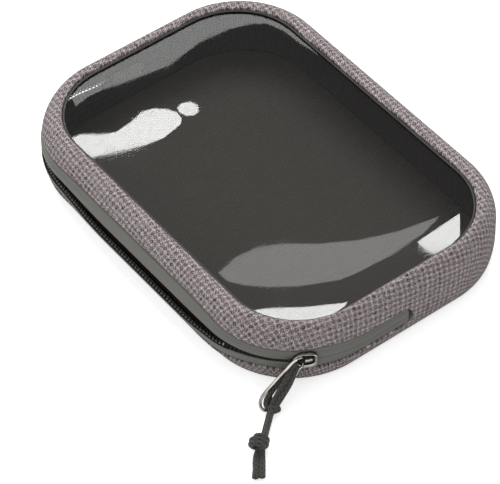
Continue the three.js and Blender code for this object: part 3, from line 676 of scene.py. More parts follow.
@dataclass(frozen=True)
class ZipCourse:
    """Where the zip runs along the outline, how high, and how far it gapes.

    All lengths are in millimetres. A distance d counts along the body's outline from the
    middle of its right side; the zip begins a little before 0.
    """

    body: RoundedOutline
    overrun: float = 2.4
    height_front: float = 14.2
    end_fall: float = 2.5
    fall_start: float = 40.0
    fall_run: float = 26.0
    shown_front: float = 5.2
    shown_end: float = 4.2
    slit: float = 0.1
    gape_start: float = 13.0
    gape_run: float = 42.0
    gape_end_run: float = 95.0
    ajar: float = 0.8
    ajar_run: float = 5.0
    garage: float = 10.0
    lift: float = 2.7
    drop: float = 2.1
    upper_flare: float = 1.5
    lower_flare: float = 3.0
    lip_flare: float = 3.5
    lip_ease: float = 0.5
    end_reach: float = 1.6
    corner_loss: float = 0.82
    corner_run: float = 34.0
    corner_rest: float = 12.0
    hold_run: float = 12.0
    ease_start: float = 26.0
    ease_run: float = 30.0
    throat_reach: float = 3.2
    throat_width: float = 1.7
    slider_angle: float = -31.0
    slider_length: float = 9.6
    post: float = 1.6
    foot: float = 4.3
    shoulder: float = 19.3

    @property
    def start(self) -> float:
        """Distance of the right end."""
        return -self.overrun

    @property
    def end(self) -> float:
        """Distance of the left end."""
        side, corner, front = self.body.stretches()[:3]
        return 2 * side + 2 * corner + front + self.overrun

    @property
    def slider(self) -> float:
        """Distance of the slider's middle."""
        return self.body.stretches()[0] + self.body.radius * np.radians(-self.slider_angle)

    def end_share(self, d: Array) -> Array:
        """How far a place is along the fall towards either end."""
        nearest = np.minimum(d, self.start + self.end - d)
        return smoothstep((self.fall_start - nearest) / self.fall_run)

    def height(self, d: Array) -> Array:
        """Height of the slit."""
        return self.height_front - self.end_fall * self.end_share(d)

    def shown(self, d: Array) -> Array:
        """Width of tape that shows on each side."""
        return self.shown_front + (self.shown_end - self.shown_front) * self.end_share(d)

    def gape(self, d: Array) -> Array:
        """Share of the full gape, 0 where the zip is shut."""
        opening = smoothstep((d - self.slider - self.gape_start) / self.gape_run)
        return opening * smoothstep((self.end - self.garage - d) / self.gape_end_run)

    def end_hold(self, d: Array) -> Array:
        """Share of freedom that the welded left end leaves the rows: none over the weld, all further on."""
        return smoothstep((self.end - self.garage - d) / self.hold_run)

    def throat(self, d: Array) -> Array:
        """Half the way that the slider's post holds the rows apart."""
        place = self.slider + self.slider_length / 2 - self.post
        return self.throat_width * (1 - smoothstep((np.abs(d - place) - self.post / 2) / self.throat_reach))

    def flare(self, d: Array) -> Array:
        """Share of the outward lean: full along the front, small from the left corner on."""
        past = d - sum(self.body.stretches()[:3]) + self.corner_run
        return self.gape(d) * (1 - self.corner_loss * smoothstep(past / (self.corner_run + self.corner_rest)))

    def spread(self, side: Side) -> float:
        """Travel of a row at full gape."""
        return self.lift if side is Side.UPPER else self.drop

    def edge(self, d: Array, side: Side, slit: float | None = None) -> Array:
        """Height of a tape's edge."""
        shut = self.slit if slit is None else slit
        ajar = self.ajar * smoothstep((d - self.slider) / self.ajar_run) * (1 - self.gape(d)) * self.end_hold(d)
        apart = self.spread(side) * self.gape(d) + np.maximum(ajar, self.throat(d))
        return self.height(d) + side.value * (shut / 2 + apart)

    def lip(self, d: Array, side: Side) -> Array:
        """Height of the slot's lip."""
        return self.height(d) + side.value * (self.shown(d) + self.spread(side) * self.gape(d))

    def lip_push(self, d: Array) -> Array:
        """Push of the wall's lip under the zip, which is most just past the corner."""
        eased = smoothstep((d - self.slider - self.ease_start) / self.ease_run)
        return self.lip_flare * self.flare(d) * (1 - self.lip_ease * eased)

    def wall_push(self, d: Array, z: Array) -> Array:
        """Outward push of the wall, greatest at the lower lip."""
        lip = self.lip(d, Side.LOWER)
        rise = np.maximum(0, (z - self.foot) / (lip - self.foot))
        fall = np.maximum(0, (self.shoulder - z) / (self.shoulder - lip))
        return self.lip_push(d) * np.minimum(rise, fall)

    def tape_push(self, d: Array, z: Array, side: Side) -> Array:
        """Outward push of a tape between its lip and its edge."""
        lip = self.lip(d, side)
        part = np.maximum(0, (z - lip) / (self.edge(d, side) - lip))
        if side is Side.UPPER:
            return self.flare(d) * self.upper_flare * part
        at_lip, at_edge = self.lip_push(d), self.flare(d) * self.lower_flare
        return np.where(part > 0, at_lip + (at_edge - at_lip) * part, self.wall_push(d, z))

    def roundness(self, d: Array) -> Array:
        """Share of the slot's full height, falling as a circle does at both ends."""
        from_end = np.minimum(d - self.start, self.end - d)
        back = np.clip(from_end / (self.end_reach * self.shown_end), 0, 1)
        return np.sqrt(np.maximum(0, 1 - (1 - back) ** 2))

    def slot(self, d: Array, slack: float = 0.0) -> tuple[Array, Array, Array]:
        """Heights of the slot's upper and lower edge, and the share of its full height.

        Args:
            d: Distances along the zip.
            slack: Extra room on both sides.
        """
        middle, cap = self.height(d), self.roundness(d)
        up = middle + (self.lip(d, Side.UPPER) - middle + slack) * cap
        low = middle - (middle - self.lip(d, Side.LOWER) + slack) * cap
        return up, low, cap


@dataclass(frozen=True)
class Form:
    """The moulded form that all layers follow: the body's outline blended into the window's."""

    body: RoundedOutline
    pane: RoundedOutline
    course: ZipCourse
    seat: tuple[float, float]
    height: float = 29.6
    rim_rise: float = 10.3
    rim_crest: float = 0.72
    rim_power: float = 1.6
    draw_in: float = 2.2
    draw_top: float = 12.0
    wall: float = 1.4
    foot: float = 4.3
    lip_drop: float = 1.0
    lip_depth: float = 0.9
    gap: float = 0.3
    tape: float = 0.8

    @property
    def shoulder(self) -> float:
        """Height where the wall starts to turn in."""
        return self.height - self.rim_rise

    @property
    def underside(self) -> float:
        """Height of the rim's underside at the window."""
        return self.height - self.lip_drop - self.lip_depth

    @property
    def film_top(self) -> float:
        """Height of the film's face at its edge."""
        return self.underside - self.gap

    def blend(self, z: Array) -> Array:
        """How far the skin has turned in: a quarter superellipse from the shoulder to the crest."""
        rise = np.clip((z - self.shoulder) / self.rim_rise, 0, 1)
        return self.rim_crest * (1 - (1 - rise ** self.rim_power) ** (1 / self.rim_power))

    def drawn(self, z: Array) -> Array:
        """How far the wall draws in towards the base, growing as a square."""
        return self.draw_in * np.clip(1 - z / self.draw_top, 0, 1) ** 2

    def lay(self, station: Array, z: Array, depth: Array, push: Array = 0.0, blend: Array | None = None) -> Array:
        """Points behind the skin: the body's outline and the window's outline mixed by blend.

        Args:
            station: Stations of the outline.
            z: Heights.
            depth: Depth behind the skin.
            push: Outward push.
            blend: Share of the window's outline; the rim's own turn if left out.

        Returns:
            Points, in the frame of the model.
        """
        share = self.blend(z) if blend is None else blend
        station, z, depth, push, share = np.broadcast_arrays(station, z, depth, push, share)
        outer, _ = self.body.at(station, push - depth - self.drawn(z))
        inner, _ = self.pane.at(station, -depth)
        flat = outer + (inner - outer) * share[..., None] + np.array(self.seat)
        return np.concatenate([flat, z[..., None]], axis=-1)

    def point(self, z: float) -> Array:
        """The point over the body's middle at a height."""
        return np.array([*self.seat, z])

    def along(self, d: Array, z: Array, depth: Array, push: Array = 0.0) -> Array:
        """Points at distances along the zip."""
        return self.lay(self.body.station(d), z, depth, push)


@dataclass
class Cover:
    """The woven tray: rim over the window's edge, wall with the slot, and underside."""

    form: Form
    columns: int = 600
    edge_radius: float = 0.45
    closest: float = 0.22
    under_share: float = 0.45

    def distances(self) -> Array:
        """Places round the outline, closer together at the slot's round ends."""
        course = self.form.course
        total = self.form.body.stretches().sum()
        part = np.array([0.0, 0.08, 0.18, 0.3, 0.42, 0.55, 0.68, 0.8, 0.9, 0.97])
        cap = course.shown_end * (1 - np.sqrt(1 - part * part))
        ends = np.concatenate([course.start + cap, course.end - cap])
        even = np.linspace(course.start - 6, course.start - 6 + total, self.columns, endpoint=False)
        far = np.min(np.abs(even[:, None] - ends[None]), axis=1) > self.closest
        return np.sort(np.concatenate([even[far], ends]))

    def build(self, material: Material) -> Object:
        """Rows run from under the window's lip over the rim to the slot, and from the slot under the base.

        Where the slot is open its two lips are rounded over to the inner face; elsewhere the
        rows of the two lips are one and the same.
        """
        form, course = self.form, self.form.course
        d = self.distances()
        station, row = form.body.station(d)[None], d[None]
        up, low, cap = course.slot(row)
        is_open = cap[0] > 1e-9
        edge = self.edge_radius * cap
        thick, foot = form.wall, form.foot

        def wall(z: Array, depth: Array = 0.0) -> Array:
            """Rows of the wall at heights and depths, pushed out by the zip."""
            return form.lay(station, z, depth, course.wall_push(row, z))

        def arc(radius: float, turn: Array) -> Array:
            """Rows of the turn between the wall and the base."""
            return form.lay(station, foot - radius * np.cos(turn), foot - radius * np.sin(turn), 0.0, 0.0)

        turn = np.linspace(0, QUARTER, 9)[:, None]
        lip_z = form.underside + np.array([[0.0, 0.03, 0.2, 0.5]]).T
        lip_blend = np.array([[0.93, 0.985, 1.0, 1.0]]).T
        crest_z = form.height - form.lip_drop + form.lip_drop * np.sin(turn)
        crest_blend = form.rim_crest + (1 - form.rim_crest) * np.cos(turn)
        top = form.lay(station, np.vstack([lip_z, crest_z]), 0.0, 0.0, np.vstack([lip_blend, crest_blend]))
        down = np.cos(np.linspace(0, QUARTER, 27)[1:])[:, None]
        upper_wall = wall(up + edge + (form.height - up - edge) * down)

        bend = np.linspace(0, QUARTER, 5)[1:, None]
        bend_back = bend[::-1] - bend[0]
        round_in = self.edge_radius * (1 - np.cos(bend))
        round_out = thick - self.edge_radius * (1 - np.cos(bend_back))
        depth = np.vstack([round_in, round_out, [[thick]]])
        tuck = np.vstack([np.sin(bend), np.sin(bend[::-1] - bend[0] * 0.5), [[0.35]]])
        upper_lip = wall(up + edge * (1 - tuck), depth)
        lower_lip = wall(low - edge * (1 - tuck), depth)

        part = np.linspace(0, 1, 7)[:, None]
        upper_inner = wall(up + edge + (form.underside - thick - up - edge) * part[1:], thick)
        under_outer, _ = form.body.at(station, np.full_like(station, -thick))
        under_inner, _ = form.pane.at(station, np.zeros_like(station))
        under = under_outer + (under_inner - under_outer) * self.under_share + np.array(form.seat)
        under = np.concatenate([under, np.full(station.shape + (1,), form.underside)], axis=-1)

        lower_wall = wall(low - edge + (foot - low + edge) * np.linspace(0, 1, 13)[:, None])
        base_turn = np.linspace(QUARTER, 0, 9)[1:, None]
        base_arc, inner_arc = arc(foot, base_turn), arc(foot - thick, base_turn[::-1])
        shares = np.array([0.96, 0.8, 0.55, 0.3, 0.12, 0.0])[:, None, None]
        base_flat = form.point(0.0) + (base_arc[-1:] - form.point(0.0)) * shares
        inner_flat = form.point(thick) + (inner_arc[:1] - form.point(thick)) * shares[::-1]
        inside = np.concatenate([inner_flat, inner_arc, wall(foot + (low - edge - foot) * part, thick)])

        draft = Draft()
        index = draft.grid(np.concatenate([top, upper_wall, upper_lip, upper_inner, under]))
        rows_out = len(top) + len(upper_wall)
        first_in = rows_out + len(upper_lip)
        low_out = draft.grid(np.concatenate([lower_wall, base_arc, base_flat]))
        low_in = draft.grid(inside)
        low_lip = draft.grid(lower_lip)
        low_out[-1], low_in[0] = low_out[-1, 0], low_in[0, 0]
        shut = ~is_open
        low_out[0, shut] = index[rows_out - 1, shut]
        low_in[-1, shut] = index[first_in, shut]
        low_lip[:, shut] = index[rows_out:first_in][:, shut]

        above, below = np.concatenate([top, upper_wall]), np.concatenate([lower_wall, base_arc])
        place = self.weave(above, below, len(top) - 1, station)
        cell_open = is_open | np.roll(is_open, -1)

        def strip(rows: Array, place_row: int, keep: Array) -> None:
            """Adds rows that share one row of pattern places, where keep says so."""
            places = np.broadcast_to(place[place_row], (len(rows), len(d) + 1, 2))
            draft.cells(around(rows), places, np.broadcast_to(keep, (len(rows) - 1, len(d))))

        draft.cells(around(index[:rows_out]), place[:rows_out])
        strip(index[rows_out - 1:first_in + 1], rows_out - 1, cell_open)
        strip(np.vstack([index[first_in:], index[:1]]), 0, np.ones(len(d), bool))
        draft.cells(around(low_out[:len(below)]), place[rows_out:])
        flat = np.concatenate([base_arc[-1:], base_flat])
        draft.cells(around(low_out[len(below) - 1:]), around(flat[..., :2] * MM))
        draft.cells(around(low_in), around(inside[..., :2] * MM))
        strip(np.vstack([low_out[:1], low_lip, low_in[-1:]]), rows_out, cell_open)
        return draft.piece("cover", material, Body.POUCH, "fabric", "shell")

    def weave(self, upper: Array, lower: Array, crest: int, station: Array) -> Array:
        """Pattern places as one flat cloth laid over the form.

        On the rim a place is the point seen from above; beyond the crest it is the crest's
        place plus the outward normal times the length of the way down.

        Args:
            upper: Rows of the outer face down to the slot.
            lower: Rows of the outer face below the slot.
            crest: Row of the crest.
            station: Stations of the columns.

        Returns:
            Places in metres, with the first column repeated after the last.
        """
        rows = np.concatenate([upper, lower])
        steps = np.linalg.norm(np.diff(rows, axis=0), axis=-1)
        run = np.concatenate([np.zeros((1, rows.shape[1])), np.cumsum(steps, axis=0)])
        run -= run[crest:crest + 1]
        _, normal = self.form.body.at(station, np.zeros_like(station))
        on_rim = (np.arange(len(rows)) <= crest)[:, None, None]
        hung = rows[crest:crest + 1, :, :2] + normal * run[..., None]
        return around(np.where(on_rim, rows[..., :2], hung)) * MM


@dataclass
class Lining:
    """Dark lining inside the tray: a wall with the slot cut out, and a floor."""

    form: Form
    thickness: float = 0.6
    slack: float = 0.5
    head_room: float = 0.9
    overlap: float = 0.1

    def wall(self, distances: Array, material: Material) -> Object:
        """Builds the wall as outer and inner faces, open where the slot is."""
        form, course, d = self.form, self.form.course, distances
        station, row = form.body.station(d)[None], d[None]
        up, low, cap = course.slot(row, self.slack)
        is_open = cap[0] > 1e-9
        depth = form.wall + 2 * form.gap + form.tape
        bottom = np.full_like(row, form.wall + form.gap + self.thickness - self.overlap)
        top = np.full_like(row, form.film_top - self.head_room)

        def rows(start: Array, stop: Array, count: int, inwards: float) -> Array:
            """Rows of the wall between two heights."""
            z = start + (stop - start) * np.linspace(0, 1, count)[:, None]
            return form.lay(station, z, inwards, course.wall_push(row, z))

        draft = Draft()
        up_in = draft.grid(rows(top, up, 16, depth + self.thickness))
        up_out = draft.grid(rows(up, top, 16, depth))
        low_in = draft.grid(rows(low, bottom, 12, depth + self.thickness))
        low_out = draft.grid(rows(bottom, low, 12, depth))
        shut = ~is_open
        low_in[0, shut] = up_in[-1, shut]
        low_out[-1, shut] = up_out[0, shut]
        cell_open = (is_open | np.roll(is_open, -1))[None]
        u = np.append(d, d[0] + form.body.stretches().sum())
        v_up, v_low, v_top, v_bottom = 15, 12, top[0, 0], bottom[0, 0]

        def add(index: Array, start: float, stop: float, keep: Array | None = None) -> None:
            """Adds cells with places by distance and height."""
            v = np.linspace(start, stop, len(index))[:, None]
            draft.cells(around(index), together(u, v) * MM, keep)

        add(up_in, v_top, v_up)
        add(np.vstack([up_in[-1:], up_out[:1]]), 0, 0, cell_open)
        add(up_out, v_up, v_top)
        add(np.vstack([up_out[-1:], up_in[:1]]), 0, 0)
        add(low_in, v_low, v_bottom)
        add(np.vstack([low_in[-1:], low_out[:1]]), 0, 0)
        add(low_out, v_bottom, v_low)
        add(np.vstack([low_out[-1:], low_in[:1]]), 0, 0, cell_open)
        return draft.piece("lining_side", material, Body.POUCH, "lining", "lining_wall")

    def floor(self, material: Material) -> Object:
        """Builds the floor: rings from its edge to its middle, top and bottom, with a soft edge."""
        form = self.form
        station = np.linspace(0, 9, 420, endpoint=False)[None]
        top = form.wall + form.gap + self.thickness
        edge = form.wall + 2 * form.gap + form.tape + 0.4
        share = np.array([1, 0.995, 0.985, 0.96, 0.9, 0.8, 0.66, 0.5, 0.33, 0.16, 0.0])[:, None, None]
        z = top + np.array([-0.25, -0.08, 0.0, 0.02, 0.02, 0.03, 0.03, 0.03, 0.03, 0.03, 0.03])[:, None]
        flat = form.lay(station, np.full_like(station, top), edge, 0.0, np.zeros_like(station))[..., :2]
        seat = np.array(form.seat)
        ring = seat + (flat - seat) * share
        upper = np.concatenate([ring, np.broadcast_to(z[..., None], ring.shape[:2] + (1,))], axis=-1)
        lower = upper[[0, 5, 10]].copy()
        lower[..., 2] = top - self.thickness
        draft = Draft()
        rings = np.concatenate([lower[::-1], upper])
        draft.disc(rings, rings[..., :2] * MM)
        return draft.piece("lining_base", material, Body.POUCH, "lining", "lining_floor")


@dataclass
class Window:
    """The clear film with its low dome and slack waves, and the weld along its edge."""

    form: Form
    flange: float = 1.9
    dome: float = 0.6
    thickness: float = 0.2
    wave: float = 0.05
    bead_inset: float = 0.55
    bead_half: float = 0.5
    bead_rise: float = 0.62
    bead_sink: float = 0.1
    bead_level: float = 0.32

    def height(self, points: Array) -> Array:
        """Height of the film above its edge: a low dome plus crossing slack waves that die out at the edge."""
        form = self.form
        centre = np.array(form.seat) + np.array(form.pane.centre)
        x, y = np.moveaxis(points - centre, -1, 0)
        level = 1 - np.sqrt((2 * x / form.pane.length) ** 4 + (2 * y / form.pane.width) ** 4)
        waves = np.sin(0.105 * x + 0.043 * y + 0.6) + 0.7 * np.sin(0.061 * x - 0.118 * y + 2.1)
        waves = waves + 0.5 * np.sin(0.19 * x + 0.13 * y)
        return self.dome * level + self.wave * waves * smoothstep(level * 2.2)

    def normal(self, points: Array) -> Array:
        """Upward normals of the film, from differences of its height over a tenth of a millimetre."""
        step = 0.1
        rise = [(self.height(points + way) - self.height(points - way)) / (2 * step) for way in step * np.eye(2)]
        return unit(np.stack([-rise[0], -rise[1], np.ones_like(rise[0])], axis=-1))

    def build(self, material: Material) -> Object:
        """Builds the film: rings from its edge to its middle, both faces."""
        form = self.form
        station = np.linspace(0, 9, 420, endpoint=False)[None]
        share = np.concatenate([[1.0], np.linspace(0.99, 0.0, 56)])[:, None, None]
        edge, _ = form.pane.at(station, np.full_like(station, self.flange))
        seat = np.array(form.seat)
        centre = np.array(form.pane.centre) + seat
        flat = centre + (edge + seat - centre) * share
        level = form.film_top + self.height(flat)
        upper = np.concatenate([flat, level[..., None]], axis=-1)
        lower = upper - np.array([0, 0, self.thickness])
        draft = Draft()
        rings = np.concatenate([lower[::-1], upper])
        draft.disc(rings, rings[..., :2] * MM)
        return draft.piece("film", material, Body.POUCH, "film", "window")

    def weld(self, material: Material) -> Object:
        """Builds the weld: a low half-round run along the inside of the window's edge."""
        form = self.form
        station = np.linspace(0, 9, 500, endpoint=False)
        turn = np.linspace(0, CIRCLE, 12, endpoint=False)
        inset = self.bead_inset + self.bead_half * np.cos(turn)
        rise = np.where(np.sin(turn) > 0, self.bead_rise, self.bead_sink) * np.sin(turn)
        points, _ = form.pane.at(*np.broadcast_arrays(station[:, None], -inset))
        x, y = np.moveaxis(points + np.array(form.seat), -1, 0)
        rings = together(x, y, form.film_top + self.bead_level + rise)
        draft = Draft()
        draft.tube(rings, looped=True)
        return draft.piece("weld_bead", material, Body.POUCH, "weld", "window_bead")


@dataclass
class Zip:
    """Coated tapes, coils of teeth and welded ends of the zip."""

    form: Form
    inset: float = 2.2
    margin: float = 1.6
    thin: float = 0.45
    inner_side: float = -100.0
    slit: float = 0.03
    face_depth: float = 0.45
    tuck_depth: float = 1.25
    tuck_run: float = 0.7
    step_depth: float = 0.42
    step_place: float = 2.35
    step_run: float = 0.55
    bulge_depth: float = 0.38
    roll_depth: float = 0.22
    roll_run: float = 0.35
    pitch: float = 1.66
    filament: float = 0.36
    loop_middle: float = 1.3
    loop_half: float = 1.35
    loop_depth: float = 0.62
    loop_half_depth: float = 0.38
    loop_points: int = 14
    weld_length: float = 14.0
    weld_face: float = 1.42
    weld_crown: float = 0.72
    weld_sink: float = 0.22
    weld_back: float = 1.66

    def section(self, away: Array, width: Array) -> Array:
        """Depth of a tape's face behind the skin.

        It comes out from behind the lip, runs a little below the skin, steps up over the
        coil's edge and bulges slightly proud towards the slit, where it rolls in.

        Args:
            away: Distance from the tape's edge.
            width: Width of the shown tape.
        """
        tuck = self.tuck_depth * (1 - smoothstep((width - away) / self.tuck_run))
        over_coil = self.step_depth * (1 - smoothstep((away - self.step_place) / self.step_run))
        bulge = self.bulge_depth * (1 - np.clip(away / np.maximum(width, 1e-6), 0, 1) ** 2)
        roll = self.roll_depth * (1 - smoothstep(away / self.roll_run))
        return self.face_depth + tuck - over_coil - bulge + roll

    def tape(self, side: Side, material: Material) -> Object:
        """Builds a tape: its section runs down the face, round the edge and up the back."""
        form, course = self.form, self.form.course
        d = np.linspace(course.start + self.inset, course.end - self.inset, 460)[:, None]
        face = form.wall + form.gap
        hidden = np.array([-self.margin, -self.margin * 0.5, -0.2])
        shown = np.interp(np.arange(21), [0, 5, 16, 20], [0, 0.2, 0.9, 1])
        lip = course.lip(d, side)
        edge = course.edge(d, side, self.slit)
        width = np.abs(lip - edge)
        shown_z = lip + (edge - lip) * shown[None]
        hidden_z = lip - side.value * hidden[None]
        z_face = np.concatenate([hidden_z, shown_z], axis=1)
        section = self.section(width * (1 - shown[None]), width)
        depth_face = np.concatenate([np.full_like(hidden_z, face), section], axis=1)
        z_back = np.concatenate([shown_z[:, ::-3], hidden_z[:, ::-1]], axis=1)
        back = face + form.tape
        thin = np.minimum(section[:, ::-3] + self.thin, back)
        depth_back = np.concatenate([thin, np.full_like(hidden_z, back)], axis=1)
        z = np.concatenate([z_face, z_back], axis=1)
        depth = np.concatenate([depth_face, depth_back], axis=1)
        rings = form.along(d, z, depth, course.tape_push(d, z, side))
        count = z_face.shape[1]
        # Where the zip gapes, the lower tape's last rows take the black of its back: partly the black back turning
        # into view, partly painted shade in the gap.
        turned = (np.arange(count)[None] > count - 3) & (course.gape(d) > 0.3) & (side is Side.LOWER)
        v_face = np.where(turned, self.inner_side, z_face)
        v = np.concatenate([v_face, np.full_like(z_back, self.inner_side), z[:, :1]], axis=1)
        draft = Draft()
        draft.tube(rings, together(d, v) * MM)
        name, node = ("tape_top", "tape_upper") if side is Side.UPPER else ("tape_bottom", "tape_lower")
        return draft.piece(name, material, Body.POUCH, "tape", node)

    def coil(self, side: Side, material: Material) -> Object:
        """Builds a row of teeth as one filament wound in flat loops.

        With the turn as parameter, the height swings as a squared-off cosine between the head
        beyond the tape's edge and the root behind it, the depth as a sine, and the way along
        grows by one pitch a turn; the two rows are half a pitch apart.
        """
        form, course = self.form, self.form.course
        start, end = course.start + self.inset + 2, course.end - self.inset - 2
        turns = int((end - start) / self.pitch) - 1
        phase = np.linspace(0, turns, turns * self.loop_points + 1)
        d = start + self.pitch * (phase + (0.5 if side is Side.LOWER else 0.0))
        swing = np.cos(CIRCLE * phase)
        square = swing * (1.4 - 0.4 * swing * swing)
        z = course.edge(d, side) + side.value * (self.loop_middle - self.loop_half * square)
        depth = self.thin + self.loop_depth + self.loop_half_depth * np.sin(CIRCLE * phase)
        path = form.along(d, z, depth, course.tape_push(d, z, side))
        _, normal = form.body.at(form.body.station(d), np.zeros_like(d))
        guide = np.stack([-normal[:, 1], normal[:, 0], np.zeros(len(d))], axis=1)
        steps, sides = 3, 6
        path, radius = rounded(path, self.filament, steps)
        guide = np.pad(guide, ((steps, steps), (0, 0)), mode="edge")
        # The pattern place is the loop's swing where the zip gapes, which places the coil's painted highlight, and -1
        # where the zip is shut, with no highlight.
        apart = smoothstep((course.gape(d) - 0.1) / 0.4)
        head = np.pad(square * apart - (1 - apart), steps, mode="edge")
        draft = Draft()
        draft.tube(sweep(path, radius, sides, guide), np.broadcast_to(head[:, None, None], (len(path), sides + 1, 2)))
        name, node = ("coil_top", "teeth_upper") if side is Side.UPPER else ("coil_bottom", "teeth_lower")
        return draft.piece(name, material, Body.POUCH, "coil", node)

    def garage(self, end: End, material: Material) -> Object:
        """Builds the round-ended weld over one end of the zip, thinning out where it meets the tapes."""
        form, course = self.form, self.form.course
        tip = course.start + form.gap if end is End.RIGHT else course.end - form.gap
        radius = course.shown_end - form.gap
        reach = radius * course.end_reach
        cap = reach * (1 - np.cos(np.linspace(0.12, QUARTER, 14)))
        run = np.concatenate([cap, np.linspace(reach + 0.4, self.weld_length, 22)])[:, None]
        d = tip + end.value * run
        back = np.clip(run / reach, 0, 1)
        half = (course.shown(d) - form.gap) * np.sqrt(1 - (1 - back) ** 2)
        share = np.sin(np.linspace(-QUARTER, QUARTER, 21))[None]
        edge = half * (1 - np.abs(share))
        thin = smoothstep((run - 4.5) / 8.0)
        crown = self.weld_crown * smoothstep(edge) * smoothstep(run / 1.2) * (1 - thin)
        face = self.weld_face - crown + self.weld_sink * thin
        z = course.height(d) + half * share
        z_back = z[:, ::-5]
        depth = np.concatenate([face, np.full_like(z_back, self.weld_back)], axis=1)
        z = np.concatenate([z, z_back], axis=1)
        draft = Draft()
        draft.tube(form.along(d, z, depth), together(d, around(z)) * MM)
        name, node = ("zip_end_right", "garage_right") if end is End.RIGHT else ("zip_end_left", "garage_left")
        return draft.piece(name, material, Body.POUCH, "tape", node)


